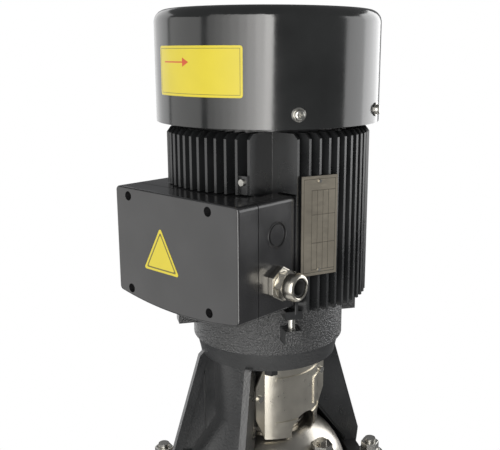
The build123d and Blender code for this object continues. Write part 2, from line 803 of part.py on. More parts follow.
def leg_rib():
    """Flared rib in the plane of X and Z, flat on its -Y side and pocketed on its +Y side."""
    middle = (leg_inner_radius + leg_outer_radius) / 2
    disc_bottom = motor_plane - stool_disc_thickness
    disc_root = disc_bottom + rib_root
    foot = stool_bottom + rib_foot_height
    ring_top = stool_bottom + stool_ring_height
    ring_root = ring_top - rib_root
    in_ring = stool_ring_inner + leg_wall / 2
    spread = stool_bottom + leg_spread_height
    outline = make_face(Polyline(
        (middle, disc_root), (stool_disc_radius - stool_disc_taper, disc_root),
        (rib_top_radius, disc_bottom - overrun), (rib_foot_radius, foot),
        (rib_foot_radius - rib_foot_draft, ring_root), (in_ring, ring_root),
        (in_ring, ring_top + leg_wall / 2), (middle, spread), close=True))
    flare = (rib_foot_radius - rib_top_radius) / (disc_bottom - foot)
    web_slope = (spread - ring_top) / (stool_ring_inner - leg_inner_radius)
    pocket_top = disc_bottom - (rib_pocket_start + rib_rim - rib_top_radius) / flare
    pocket_foot = foot + rib_rim
    rim_at_foot = rib_top_radius + (disc_bottom - pocket_foot) * flare - rib_rim
    web_at_foot = leg_outer_radius + (spread - pocket_foot) / web_slope + leg_wall / 2
    pocket_low = min(web_at_foot, rim_at_foot - rib_pocket_least)
    corner = spread - (rib_pocket_start - leg_outer_radius) * web_slope + leg_wall / 2
    pocket = make_face(Polyline(
        (rib_pocket_start, pocket_top), (rim_at_foot, pocket_foot),
        (pocket_low, pocket_foot), (rib_pocket_start, corner), close=True))
    half = rib_thickness / 2
    rib = extrude(Plane.XZ * outline, half, both=True)
    cut = Pos(0, half + overrun, 0) * extrude(Plane.XZ * pocket, rib_pocket_depth + overrun)
    return rib - cut


def stool_leg():
    """One leg about +Y: web, two ribs and the flat pads that carry the guards."""
    leg = leg_web()
    rib = leg_rib()
    leg += Rot(0, 0, 90 - leg_half_angle) * rib
    leg += Rot(0, 0, 90 + leg_half_angle) * mirror(rib, Plane.XZ)
    pad_bottom = guard_screw_height() - guard_pad_height / 2
    pad_near = guard_screw_reach - guard_pad_width / 2
    for side in SIDES:
        low, high = sorted((side * (guard_plane - guard_pad_depth), side * guard_plane))
        leg += block(low, high, pad_near, pad_near + guard_pad_width, pad_bottom, pad_bottom + guard_pad_height)
    return leg


def guard_screw_height():
    return guard_top - guard_screw_drop + guard_pad_height


def guard_screw_places():
    return [Pos(0, side_y * guard_screw_reach, guard_screw_height()) * Rot(0, 90 * side_x, 0)
            for side_x in SIDES for side_y in SIDES]


def make_motor_stool():
    ring_top = stool_bottom + stool_ring_height
    disc_bottom = motor_plane - stool_disc_thickness
    stool = drum(stool_ring_outer, stool_bottom, ring_top)
    for angle in corner_angles:
        stool += around(staybolt_circle_radius, angle) * drum(stool_ear_radius, stool_bottom, ring_top)
    stool -= drum(stool_ring_inner, stool_bottom - overrun, ring_top + overrun)
    stool += turned(
        (0, disc_bottom), (stool_disc_radius - stool_disc_taper, disc_bottom),
        (stool_disc_radius, motor_plane), (0, motor_plane))
    leg = stool_leg()
    stool += leg
    stool += Rot(0, 0, 180) * leg
    stool -= drum(stool_bore_radius, disc_bottom - overrun, motor_plane + overrun)
    stool -= drum(spigot_radius + seated_gap, motor_plane - spigot_height - loose_gap, motor_plane + overrun)
    for angle in corner_angles:
        stool -= around(staybolt_circle_radius, angle) * drum(
            staybolt_radius + screw_gap, stool_bottom - overrun, ring_top + overrun)
        stool -= around(flange_screw_circle_radius, angle) * drum(
            flange_screw_radius + screw_gap, disc_bottom - overrun, motor_plane + overrun)
    hole = drum(guard_screw_radius + seated_gap, guard_plane - guard_screw_depth - overrun, guard_plane + overrun)
    for place in guard_screw_places():
        stool -= place * hole
    return stool


# ---- coupling guards --------------------------------------------------------------------------
def guard_arch(radius, thickness, bottom, top, low_angle, high_angle):
    """Stretch of a sheet bent round the Z axis, between two angles from +X."""
    inner = radius - thickness
    outline = make_face(Polyline(
        (inner, bottom), (radius, bottom), (radius, top), (inner, top), close=True))
    return Rot(0, 0, low_angle) * revolve(Plane.XZ * outline, Axis.Z, high_angle - low_angle)


def guard_ear(side):
    """Flat ear in the guard's plane, with sloping corners."""
    bend = sqrt(guard_radius ** 2 - (guard_plane + guard_sheet) ** 2) - guard_bend_inset
    outline = make_face(Polyline(
        (side * bend, guard_bottom), (side * bend, guard_top),
        (side * guard_ear_reach, guard_top - guard_ear_top),
        (side * guard_ear_reach, guard_bottom + guard_ear_bottom), close=True))
    return Pos(guard_plane, 0, 0) * extrude(Plane.YZ * outline, guard_sheet)


def make_coupling_guard():
    edge = degrees(atan2(sqrt(guard_radius ** 2 - (guard_plane + guard_sheet) ** 2), guard_plane + guard_sheet))
    sheet = guard_arch(guard_radius, guard_sheet, guard_bottom, guard_top, -edge, edge)
    bead_outer = guard_radius + guard_bead_height
    bead_section = guard_sheet + guard_bead_height - guard_bead_skin
    bead_end = edge - guard_bead_end_angle
    for height in (guard_top - guard_bead_inset, guard_bottom + guard_bead_inset):
        sheet += guard_arch(bead_outer, bead_section, height - guard_bead_width / 2,
                            height + guard_bead_width / 2, -bead_end, bead_end)
    panel_half = degrees(guard_panel_width / guard_radius) / 2
    panel_middle = guard_bottom + guard_height / 2
    sheet += guard_arch(bead_outer, bead_section, panel_middle - guard_panel_height / 2,
                        panel_middle + guard_panel_height / 2,
                        guard_panel_azimuth - panel_half, guard_panel_azimuth + panel_half)
    sheet += guard_ear(1) + guard_ear(-1)
    notch_centre = guard_bottom + guard_notch_height - guard_notch_radius
    notch_start = guard_plane - overrun
    notch_end = bead_outer + overrun
    sheet -= outward() * Pos(-notch_centre, 0, 0) * drum(guard_notch_radius, notch_start, notch_end)
    sheet -= block(notch_start, notch_end, -guard_notch_radius, guard_notch_radius,
                   guard_bottom - overrun, notch_centre)
    hole = drum(guard_screw_radius + screw_gap / 2, guard_plane - overrun, guard_plane + guard_sheet + overrun)
    for side in SIDES:
        sheet -= Pos(0, side * guard_screw_reach, guard_screw_height()) * outward() * hole
    return sheet


def make_guard_screws():
    seat = guard_plane + guard_sheet
    screw = drum(guard_screw_radius, guard_plane - guard_screw_depth, seat)
    screw += drum(guard_head_radius, seat, seat + guard_head_height)
    return group([place * screw for place in guard_screw_places()])


# ---- rotating assembly: coupling and shafts ---------------------------------------------------
def coupling_screw_heights():
    quarter = coupling_height / 4
    return (coupling_bottom + quarter, coupling_top - quarter)


def make_coupling_half(side):
    """Half of the split clamp coupling on the +X or -X side."""
    body = drum(coupling_radius, coupling_bottom, coupling_top)
    body -= drum(pump_shaft_radius + seated_gap, coupling_bottom - overrun, motor_shaft_bottom)
    body -= drum(motor_shaft_radius + seated_gap, motor_shaft_bottom - overrun, coupling_top + overrun)
    reach = coupling_radius + overrun
    low, high = sorted((side * coupling_split / 2, side * reach))
    half = body & block(low, high, -reach, reach, coupling_bottom - overrun, coupling_top + overrun)
    pin = Pos(0, 0, coupling_bottom + coupling_pin_rise) * outward() * drum(
        coupling_pin_radius + seated_gap, -reach, reach)
    half -= pin
    for y in SIDES:
        for z in coupling_screw_heights():
            axis = Pos(0, y * coupling_screw_reach, z) * Rot(0, 90 * side, 0)
            half -= axis * drum(coupling_screw_radius + seated_gap, -reach, reach)
            half -= axis * drum(coupling_head_radius + screw_gap, coupling_seat, reach)
    return half


def make_coupling_screws():
    screws = []
    screw = drum(coupling_screw_radius, -coupling_seat + overrun, coupling_seat)
    screw += drum(coupling_head_radius, coupling_seat, coupling_seat + coupling_head_height)
    for y in SIDES:
        for z in coupling_screw_heights():
            screws.append(Pos(0, y * coupling_screw_reach, z) * outward() * screw)
    return group(screws)


def make_coupling_pin():
    pin = drum(coupling_pin_radius, -coupling_pin_reach, coupling_pin_reach)
    return Pos(0, 0, coupling_bottom + coupling_pin_rise) * outward() * pin


def make_pump_shaft():
    shaft = drum(pump_shaft_radius, cup_top - pump_shaft_tail, pump_shaft_top)
    shaft -= Pos(0, 0, coupling_bottom + coupling_pin_rise) * outward() * drum(
        coupling_pin_radius + seated_gap, -coupling_radius, coupling_radius)
    return shaft


def make_shaft_nut():
    top = stages_bottom + chamber_floor + impeller_lift
    bottom = stages_bottom - shaft_nut_drop
    nut = hexagon(shaft_nut_across_flats, bottom, top)
    return nut - drum(pump_shaft_radius + seated_gap, bottom - overrun, top + overrun)


def make_motor_shaft():
    seat = bearing_bore_radius - seated_gap
    front_top = front_bearing_bottom + bearing_width
    seat_top = rear_shield_top + bearing_shoulder
    shaft_top = rear_shield_top + fan_start + fan_blade_height / 2
    return turned(
        (0, motor_shaft_bottom), (motor_shaft_radius, motor_shaft_bottom),
        (motor_shaft_radius, front_bearing_bottom), (seat, front_bearing_bottom), (seat, front_top),
        (rotor_shaft_radius, front_top), (rotor_shaft_radius, rear_bearing_bottom),
        (seat, rear_bearing_bottom), (seat, seat_top), (fan_seat_radius, seat_top),
        (fan_seat_radius, shaft_top), (0, shaft_top))


# ---- motor inside -----------------------------------------------------------------------------
def make_rotor_core():
    core = ring(stator_inner_radius - air_gap, rotor_shaft_radius + seated_gap, stator_bottom, stator_top)
    end_outer = stator_inner_radius - end_ring_inset
    return core + ring(end_outer, end_outer - end_ring_width,
                       stator_bottom - end_ring_height, stator_top + end_ring_height)


def make_stator_core():
    return ring(frame_bore_radius - seated_gap, stator_inner_radius, stator_bottom, stator_top)


def make_stator_windings():
    outer = frame_bore_radius - winding_inset
    inner = outer - winding_wall
    lower = ring(outer, inner, stator_bottom - winding_height / 2, stator_bottom)
    upper = ring(outer, inner, stator_top, stator_top + winding_height)
    return group([lower, upper])


def bearing_heights():
    return (front_bearing_bottom, rear_bearing_bottom)


def ball_track_radius():
    return (bearing_outer_radius + bearing_bore_radius) / 2


def ball_radius():
    return (bearing_outer_radius - bearing_bore_radius) / 2 - bearing_ring + ball_groove - running_gap


def make_bearing_outer_rings():
    rings = []
    for bottom in bearing_heights():
        track = Pos(0, 0, bottom + bearing_width / 2) * Torus(ball_track_radius(), ball_radius() + running_gap)
        outer = bearing_outer_radius - seated_gap
        rings.append(ring(outer, bearing_outer_radius - bearing_ring, bottom, bottom + bearing_width) - track)
    return group(rings)


def make_bearing_inner_rings():
    rings = []
    for bottom in bearing_heights():
        track = Pos(0, 0, bottom + bearing_width / 2) * Torus(ball_track_radius(), ball_radius() + running_gap)
        outer = bearing_bore_radius + bearing_ring
        rings.append(ring(outer, bearing_bore_radius, bottom, bottom + bearing_width) - track)
    return group(rings)


def make_bearing_balls():
    balls = []
    for bottom in bearing_heights():
        for index in range(ball_count):
            place = around(ball_track_radius(), 360 / ball_count * index)
            balls.append(Pos(0, 0, bottom + bearing_width / 2) * place * Sphere(ball_radius()))
    return group(balls)


# ---- motor housing ----------------------------------------------------------------------------
def lug_places():
    return [facing(lug_azimuth + 90 * index) for index in range(4)]


def tie_screw_reach():
    return lug_reach - lug_width / 2


def make_drive_end_shield():
    floor_top = motor_plane + shield_floor
    housing = bearing_outer_radius + housing_wall
    shield = ring(shield_radius, shield_radius - shield_wall, motor_plane, shield_top)
    shield += drum(shield_radius - shield_step, motor_plane, floor_top)
    shield += drum(housing, motor_plane, front_bearing_bottom + bearing_width)
    shield += drum(spigot_radius, motor_plane - spigot_height, motor_plane + overrun)
    shield -= drum(motor_shaft_radius + shaft_hole_gap, motor_plane - spigot_height - overrun, shield_top)
    shield -= drum(bearing_outer_radius, front_bearing_bottom, shield_top + overrun)
    lug_bottom = motor_plane + lug_base
    lug_top = lug_bottom + lug_height
    lug = block(shield_radius - shield_wall / 2, lug_reach, -lug_width / 2, lug_width / 2, lug_bottom, lug_top)
    hole = drum(tie_screw_radius + seated_gap, lug_bottom - overrun, lug_top + overrun)
    for place in lug_places():
        shield += place * lug
        shield -= place * Pos(tie_screw_reach(), 0, 0) * hole
    for angle in corner_angles:
        shield -= around(flange_screw_circle_radius, angle) * drum(
            flange_screw_radius + seated_gap, motor_plane - overrun, floor_top + overrun)
    return shield


def make_shield_tie_screws():
    screw = drum(tie_screw_radius, motor_plane + lug_base, fin_bottom - tie_screw_drop)
    return group([place * Pos(tie_screw_reach(), 0, 0) * screw for place in lug_places()])


def fin_group():
    """Parallel fins towards +X, with their tips on a circle."""
    fins = None
    half = fin_thickness / 2
    for index in range(fins_per_side):
        y = (index - (fins_per_side - 1) / 2) * fin_pitch
        root = max(abs(y), sqrt(max(frame_core_radius ** 2 - y ** 2, 0)) - fin_root)
        tip = sqrt(fin_tip_radius ** 2 - y ** 2)
        outline = make_face(Polyline(
            (root, fin_bottom), (tip, fin_bottom), (tip, fin_top - fin_end_chamfer),
            (tip - fin_end_chamfer, fin_top), (root, fin_top), close=True))
        fin = Pos(0, y, 0) * extrude(Plane.XZ * outline, half, both=True)
        fins = fin if fins is None else fins + fin
    return fins


def box_clearance():
    """Room that the terminal box takes out of the fins."""
    inner = box_saddle_half_width
    side = box_half_width + box_air
    bottom = box_bottom - box_bow - box_air
    top = box_top + box_air
    room = block(-side, side, -box_front, -box_saddle, bottom, top)
    for sign in SIDES:
        low, high = sorted((sign * inner, sign * side))
        room += block(low, high, -box_front, -box_back + box_air, bottom, top)
    return room - drum(frame_core_radius, bottom, top)


def make_motor_frame():
    fins = fin_group()
    frame = drum(frame_core_radius, shield_top, fin_top)
    for turn in range(4):
        frame += Rot(0, 0, 90 * turn) * fins
    box_pad_half = terminal_block_width / 2 + box_pad_margin
    frame += block(-box_pad_half, box_pad_half, -box_saddle, -frame_bore_radius,
                   box_bottom + box_pad_margin, box_top - box_pad_margin)
    frame -= drum(frame_bore_radius, shield_top - overrun, fin_top + overrun)
    earth_bottom = motor_plane + earth_pad_start
    frame += block(earth_pad_x - earth_pad_width / 2, earth_pad_x + earth_pad_width / 2,
                   -earth_pad_reach, -frame_bore_radius, earth_bottom, earth_bottom + earth_pad_height)
    frame -= box_clearance()
    lug_bottom = fin_bottom - frame_lug_drop
    lug = block(frame_bore_radius + frame_wall / 2, lug_reach, -lug_width / 2, lug_width / 2,
                lug_bottom, lug_bottom + frame_lug_height)
    hole = drum(tie_screw_radius + seated_gap, lug_bottom - overrun, fin_bottom - tie_screw_drop)
    for place in lug_places():
        frame += place * lug
        frame -= place * Pos(tie_screw_reach(), 0, 0) * hole
    plate_half = plate_width / 2 + plate_margin
    plate_bottom = motor_plane + plate_start
    frame -= facing(plate_azimuth) * block(
        plate_radius, fin_tip_radius + overrun, -plate_half, plate_half,
        plate_bottom - plate_margin, plate_bottom + plate_height + plate_margin)
    frame -= on_earth_axis() * drum(
        earth_screw_radius + seated_gap, earth_pad_reach - earth_screw_depth - overrun, earth_pad_reach + overrun)
    return frame


def cover_screw_axis(azimuth):
    """Turn +Z outward at the height of the fan cover's screws."""
    return facing(azimuth) * Pos(0, 0, cover_bottom + fan_cover_screw_rise) * outward()


def make_rear_shield():
    lug_half = fan_cover_lug_width / 2
    lug_bottom = cover_bottom + overrun
    lug_top = lug_bottom + fan_cover_lug_height
    shield = drum(frame_core_radius, fin_top, rear_shield_top)
    shield += drum(frame_bore_radius - seated_gap, fin_top - rear_spigot, fin_top + overrun)
    shield += drum(bearing_outer_radius + rear_housing_wall, rear_bearing_bottom - rear_housing_drop, rear_shield_top)
    inside_cover = drum(cover_inner_radius - seated_gap, lug_bottom, lug_top)
    lug = inside_cover & block(
        frame_core_radius - fan_cover_lug_root, cover_inner_radius, -lug_half, lug_half, lug_bottom, lug_top)
    hole = drum(fan_cover_screw_radius + seated_gap,
                cover_inner_radius - fan_cover_screw_depth - fan_cover_wall, cover_inner_radius + overrun)
    for azimuth in fan_cover_screw_azimuths:
        shield += facing(azimuth) * lug
        shield -= cover_screw_axis(azimuth) * hole
    shield -= drum(bearing_outer_radius, rear_bearing_bottom, rear_shield_top + overrun)
    shield -= drum(rotor_shaft_radius + shaft_hole_gap, fin_top - rear_shield_bore_depth, rear_shield_top + overrun)
    return shield


def make_cooling_fan():
    bottom = rear_shield_top + fan_start
    top = bottom + fan_blade_height
    fan = drum(fan_hub_radius, bottom - fan_hub_drop, bottom + fan_blade_height / 2)
    fan += drum(fan_radius - fan_disc_inset, bottom, bottom + fan_disc)
    vane = block(fan_hub_radius - fan_blade_root, fan_radius,
                 -fan_blade_thickness / 2, fan_blade_thickness / 2, bottom, top)
    for index in range(fan_blade_count):
        fan += Rot(0, 0, 360 / fan_blade_count * index) * vane
    return fan - drum(fan_seat_radius + seated_gap, bottom - fan_hub_drop - overrun, top + overrun)


def make_fan_cover():
    shoulder = fan_cover_shoulder
    inner_shoulder = shoulder - fan_cover_wall
    wall = fan_cover_wall
    outer_arc = CenterArc((fan_cover_radius - shoulder, cover_top - shoulder), shoulder, 0, 90)
    inner_arc = CenterArc((fan_cover_radius - shoulder, cover_top - shoulder), inner_shoulder, 90, -90)
    outline = Polyline((cover_inner_radius, cover_bottom), (fan_cover_radius, cover_bottom), outer_arc @ 0)
    outline += outer_arc
    outline += Polyline(outer_arc @ 1, (0, cover_top), (0, cover_top - wall), inner_arc @ 0)
    outline += inner_arc
    outline += Line(inner_arc @ 1, (cover_inner_radius, cover_bottom))
    cover = revolve(Plane.XZ * make_face(outline), Axis.Z)
    slots = None
    slot_bottom = cover_top - wall - overrun
    for index in range(grille_rings):
        radius = grille_inner_radius + index * grille_pitch
        slot = ring(radius + grille_slot / 2, radius - grille_slot / 2, slot_bottom, cover_top + overrun)
        slots = slot if slots is None else slots + slot
    spoke = block(0, fan_cover_radius, -grille_spoke_width / 2, grille_spoke_width / 2,
                  slot_bottom - overrun, cover_top + 2 * overrun)
    for index in range(grille_spokes):
        slots -= Rot(0, 0, 360 / grille_spokes * index) * spoke
    cover -= slots
    hole = drum(fan_cover_screw_radius + screw_gap, cover_inner_radius - overrun, fan_cover_radius + overrun)
    for azimuth in fan_cover_screw_azimuths:
        cover -= cover_screw_axis(azimuth) * hole
    return cover


def make_fan_cover_screws():
    seat = fan_cover_radius + fan_cover_washer_lift
    washer_top = seat + fan_cover_washer_thickness
    screw = drum(fan_cover_screw_radius, cover_inner_radius - fan_cover_screw_depth, seat)
    screw += drum(fan_cover_washer_radius, seat, washer_top)
    screw += drum(fan_cover_head_radius, washer_top, washer_top + fan_cover_head_height)
    return group([cover_screw_axis(azimuth) * screw for azimuth in fan_cover_screw_azimuths])


def make_flange_screws():
    head_top = motor_plane - stool_disc_thickness
    screw = drum(flange_screw_radius, head_top, motor_plane + flange_screw_bite)
    screw += hexagon(flange_screw_across_flats, head_top - flange_screw_head, head_top)
    return group([around(flange_screw_circle_radius, angle) * screw for angle in corner_angles])


# ---- terminal box -----------------------------------------------------------------------------
def box_outline(inset):
    """Front outline of the box in X and Z, with a bowed lower edge."""
    side = box_half_width - inset
    low = box_bottom + inset
    high = box_top - inset
    bow = ThreePointArc((-side, low), (0, low - box_bow), (side, low))
    rest = Polyline(bow @ 1, (side, high), (-side, high), bow @ 0)
    return make_face(bow + rest)


def box_body(inset, back, front):
    """Box outline drawn out along Y, from the back to the front."""
    return Pos(0, -back, 0) * extrude(Plane.XZ * box_outline(inset), front - back)


def depth_edges(solid):
    """Edges that run along Y."""
    return solid.edges().filter_by(Axis.Y)


def on_box_front(x, z):
    """Turn +Z to -Y at a place in front of the box."""
    return Pos(x, 0, z) * Rot(90, 0, 0)


def make_terminal_box_base():
    outer = box_body(0, box_back, base_front)
    outer = fillet(depth_edges(outer), box_edge_round)
    inner = box_body(box_wall, box_back + box_wall, base_front + overrun)
    below = box_bottom - box_bow - overrun
    above = box_top + overrun
    behind = -box_back + overrun
    saddle = block(-box_saddle_half_width, box_saddle_half_width, -box_saddle, behind, below, above)
    saddle_wall = block(-box_saddle_half_width - box_wall, box_saddle_half_width + box_wall,
                        -box_saddle - box_wall, behind, below, above)
    base = outer - (inner - saddle_wall) - saddle
    base += screw_posts()
    base -= on_gland_axis(drum(gland_shank_radius + screw_gap, box_half_width - box_wall - overrun,
                               box_half_width + overrun))
    knockout = Pos(0, -knockout_back, box_bottom + knockout_rise) * outward()
    base -= knockout * ring(knockout_radius, knockout_radius - knockout_groove,
                            box_half_width - knockout_recess, box_half_width + overrun)
    hole = drum(cover_screw_radius + seated_gap, base_front - cover_screw_depth - overrun, base_front + overrun)
    for x, z in cover_screw_places():
        base -= on_box_front(x, z) * hole
    return base


def cover_screw_places():
    return [(x, z) for x in (-cover_screw_left, cover_screw_right)
            for z in (box_bottom + cover_screw_bottom_inset, box_top - cover_screw_top_inset)]


def screw_posts():
    """Posts inside the box base that take the cover screws."""
    posts = None
    half = post_width / 2
    for x, z in cover_screw_places():
        is_lower = z < terminal_middle()
        low = box_bottom + box_wall / 2 if is_lower else z - half
        high = z + half if is_lower else box_top - box_wall / 2
        post = block(x - half, x + half, -base_front, -base_front + post_depth, low, high)
        posts = post if posts is None else posts + post
    return posts


def make_terminal_box_gasket():
    gasket = box_body(gasket_inset, base_front, box_seam) - box_body(
        gasket_inset + gasket_width, base_front - overrun, box_seam + overrun)
    hole = drum(cover_screw_radius + screw_gap, base_front - overrun, box_seam + overrun)
    for x, z in cover_screw_places():
        gasket -= on_box_front(x, z) * hole
    return gasket


def make_terminal_box_cover():
    outer = box_body(0, box_seam, box_front)
    outer = fillet(depth_edges(outer), box_edge_round)
    front = outer.faces().sort_by(Axis.Y)[0]
    outer = fillet(front.edges(), box_front_round)
    cover = outer - box_body(box_wall, box_seam - overrun, box_front - box_wall)
    well = drum(cover_well_radius, box_seam + cover_well_floor, box_front + overrun)
    well += drum(cover_screw_radius + screw_gap, box_seam - overrun, box_front + overrun)
    well_wall = drum(cover_well_radius + cover_well_wall, box_seam, box_front - cover_well_drop)
    for x, z in cover_screw_places():
        cover += on_box_front(x, z) * well_wall
        cover -= on_box_front(x, z) * well
    return cover


def make_cover_screws():
    seat = box_seam + cover_well_floor
    screw = drum(cover_screw_radius, base_front - cover_screw_depth, seat)
    screw += drum(cover_head_radius, seat, seat + cover_head_height)
    return group([on_box_front(x, z) * screw for x, z in cover_screw_places()])


def terminal_middle():
    return (box_bottom + box_top) / 2


def make_terminal_block():
    back = box_saddle + box_wall
    body = block(-terminal_block_width / 2, terminal_block_width / 2, -back - terminal_block_depth, -back,
                 terminal_middle() - terminal_block_height / 2, terminal_middle() + terminal_block_height / 2)
    hole = drum(terminal_radius + seated_gap, back + terminal_floor, back + terminal_block_depth + overrun)
    for x, z in terminal_places():
        body -= on_box_front(x, z) * hole
    return body


def terminal_places():
    return [(x * terminal_pitch_x, terminal_middle() + z * terminal_pitch_z / 2)
            for x in (-1, 0, 1) for z in SIDES]


def make_terminal_studs():
    back = box_saddle + box_wall
    face = back + terminal_block_depth
    stud = drum(terminal_radius, back + terminal_floor, face + terminal_reach)
    stud += hexagon(terminal_nut_across_flats, face, face + terminal_nut_height)
    return group([on_box_front(x, z) * stud for x, z in terminal_places()])


# ---- cable gland ------------------------------------------------------------------------------
def on_gland_axis(shape):
    return Pos(0, -gland_back, box_bottom + gland_rise) * outward() * shape


def gland_shank_end():
    return box_half_width + gland_hex_height + gland_neck + gland_nut_height / 2


def make_gland_body():
    shank_start = box_half_width - box_wall - gland_shank_inside
    body = hexagon(gland_hex_across_flats, box_half_width, box_half_width + gland_hex_height)
    body += drum(gland_shank_radius, shank_start, gland_shank_end())
    body -= drum(gland_bore_radius, shank_start - overrun, gland_shank_end() + overrun)
    return on_gland_axis(body)


def make_gland_lock_nut():
    top = box_half_width - box_wall
    bottom = top - gland_lock_nut_height
    nut = hexagon(gland_hex_across_flats, bottom, top)
    return on_gland_axis(nut - drum(gland_shank_radius + seated_gap, bottom - overrun, top + overrun))


def make_gland_dome_nut():
    bottom = box_half_width + gland_hex_height + loose_gap
    top = bottom + gland_neck + gland_nut_height
    nut = hexagon(gland_dome_across_flats, bottom, bottom + gland_dome_hex_height)
    nut += turned(
        (0, bottom), (gland_nut_radius, bottom), (gland_nut_radius, top - gland_dome_crown),
        (gland_nut_radius - gland_dome_inset, top), (0, top))
    nut -= drum(gland_shank_radius + seated_gap, bottom - overrun, gland_shank_end() + loose_gap)
    nut -= drum(gland_bore_radius, bottom - overrun, top + overrun)
    return on_gland_axis(nut)


# ---- plate and earth screw --------------------------------------------------------------------
def make_nameplate():
    bottom = motor_plane + plate_start
    plate = block(plate_radius, plate_radius + plate_thickness, -plate_width / 2, plate_width / 2,
                  bottom, bottom + plate_height)
    return facing(plate_azimuth) * plate


def make_nameplate_rivets():
    bottom = motor_plane + plate_start
    seat = plate_radius + plate_thickness
    rivet = drum(rivet_radius, seat, seat + rivet_height)
    heights = (bottom + rivet_inset, bottom + plate_height - rivet_inset)
    return group([facing(plate_azimuth) * Pos(0, 0, height) * outward() * rivet for height in heights])


def on_earth_axis():
    """Turn +Z to -Y on the earth pad's screw axis."""
    height = motor_plane + earth_pad_start + earth_pad_height - earth_screw_drop
    return Pos(earth_pad_x, 0, height) * Rot(90, 0, 0)


def make_earth_screw():
    screw = drum(earth_screw_radius, earth_pad_reach - earth_screw_depth, earth_pad_reach)
    screw += drum(earth_head_radius, earth_pad_reach, earth_pad_reach + earth_head_height)
    return on_earth_axis() * screw


# ---- every node -------------------------------------------------------------------------------
def make_nodes():
    guard = make_coupling_guard()
    return {
        "base_plate": make_base_plate(),
        "pump_foot": make_pump_foot(),
        "inlet_flange": make_port_flange(-1),
        "outlet_flange": make_port_flange(1),
        "drain_plug": make_drain_plug(),
        "outer_sleeve": make_outer_sleeve(),
        "sleeve_seal_rings": make_sleeve_seal_rings(),
        "inlet_chamber": make_inlet_chamber(),
        "stage_chambers": group([make_stage_chamber(index) for index in range(stage_count)]),
        "neck_rings": group([make_neck_ring(index) for index in range(stage_count)]),
        "top_chamber": make_top_chamber(),
        "shaft_bushes": make_shaft_bushes(),
        "pump_head": make_pump_head(),
        "seal_cover": make_seal_cover(),
        "seal_cover_screws": make_seal_cover_screws(),
        "seal_stationary_ring": make_seal_stationary_ring(),
        "vent_plug": make_vent_plug(),
        "bleed_screw": make_bleed_screw(),
        "staybolts": make_staybolts(),
        "staybolt_washers": make_staybolt_washers(),
        "staybolt_nuts": make_staybolt_nuts(),
        "motor_stool": make_motor_stool(),
        "coupling_guard_right": guard,
        "coupling_guard_left": Rot(0, 0, 180) * guard,
        "guard_screws": make_guard_screws(),
        "coupling_half_right": make_coupling_half(1),
        "coupling_half_left": make_coupling_half(-1),
        "coupling_screws": make_coupling_screws(),
        "coupling_pin": make_coupling_pin(),
        "pump_shaft": make_pump_shaft(),
        "shaft_nut": make_shaft_nut(),
        "impellers": group([make_impeller(index) for index in range(stage_count)]),
        "seal_rotating_ring": make_seal_rotating_ring(),
        "motor_shaft": make_motor_shaft(),
        "rotor_core": make_rotor_core(),
        "bearing_inner_rings": make_bearing_inner_rings(),
        "bearing_balls": make_bearing_balls(),
        "bearing_outer_rings": make_bearing_outer_rings(),
        "cooling_fan": make_cooling_fan(),
        "stator_core": make_stator_core(),
        "stator_windings": make_stator_windings(),
        "motor_frame": make_motor_frame(),
        "drive_end_shield": make_drive_end_shield(),
        "rear_shield": make_rear_shield(),
        "shield_tie_screws": make_shield_tie_screws(),
        "flange_screws": make_flange_screws(),
        "fan_cover": make_fan_cover(),
        "fan_cover_screws": make_fan_cover_screws(),
        "terminal_box_base": make_terminal_box_base(),
        "terminal_box_gasket": make_terminal_box_gasket(),
        "terminal_box_cover": make_terminal_box_cover(),
        "terminal_cover_screws": make_cover_screws(),
        "terminal_block": make_terminal_block(),
        "terminal_studs": make_terminal_studs(),
        "cable_gland_body": make_gland_body(),
        "gland_dome_nut": make_gland_dome_nut(),
        "gland_lock_nut": make_gland_lock_nut(),
        "nameplate": make_nameplate(),
        "nameplate_rivets": make_nameplate_rivets(),
        "earth_screw": make_earth_screw(),
    }


os.makedirs("parts", exist_ok=True)
for name, shape in make_nodes().items():
    export_step(shape, f"parts/{name}.step")
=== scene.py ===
import bpy
import bmesh
from math import cos, pi, radians, sin, tan
from mathutils import Matrix, Vector


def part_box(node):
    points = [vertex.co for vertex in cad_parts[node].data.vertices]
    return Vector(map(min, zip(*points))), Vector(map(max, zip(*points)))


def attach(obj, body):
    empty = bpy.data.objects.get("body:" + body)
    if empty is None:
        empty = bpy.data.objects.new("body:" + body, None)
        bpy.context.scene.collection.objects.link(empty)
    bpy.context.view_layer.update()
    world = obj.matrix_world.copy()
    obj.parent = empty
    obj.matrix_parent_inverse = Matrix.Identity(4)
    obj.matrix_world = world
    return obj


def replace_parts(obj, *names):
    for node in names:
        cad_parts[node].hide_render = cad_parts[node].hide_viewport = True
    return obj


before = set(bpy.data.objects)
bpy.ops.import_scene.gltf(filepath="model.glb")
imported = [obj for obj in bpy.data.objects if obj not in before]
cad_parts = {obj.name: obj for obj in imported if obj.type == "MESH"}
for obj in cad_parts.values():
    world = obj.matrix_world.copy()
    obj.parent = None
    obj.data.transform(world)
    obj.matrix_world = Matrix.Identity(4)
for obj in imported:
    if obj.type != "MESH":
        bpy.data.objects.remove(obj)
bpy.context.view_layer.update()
scene = bpy.context.scene
scene.view_settings.view_transform = "Standard"

# ---- Studio camera ----
# A product camera stands a little above the terminal box, on the corner between the box and the
# cable gland, and looks slightly down at the motor and coupling.
camera_azimuth = radians(42.0)
camera_distance = 0.774
camera_height = 0.813
camera_pitch = radians(13.0)
camera = bpy.data.objects.new("camera", bpy.data.cameras.new("camera"))
scene.collection.objects.link(camera)
camera.data.lens = 54.0
camera.data.shift_x = -0.0354
camera.data.clip_start = 0.01
camera.location = (camera_distance * sin(camera_azimuth), -camera_distance * cos(camera_azimuth),
                   camera_height)
camera.rotation_euler = (pi / 2 - camera_pitch, 0.0, camera_azimuth)
scene.camera = camera

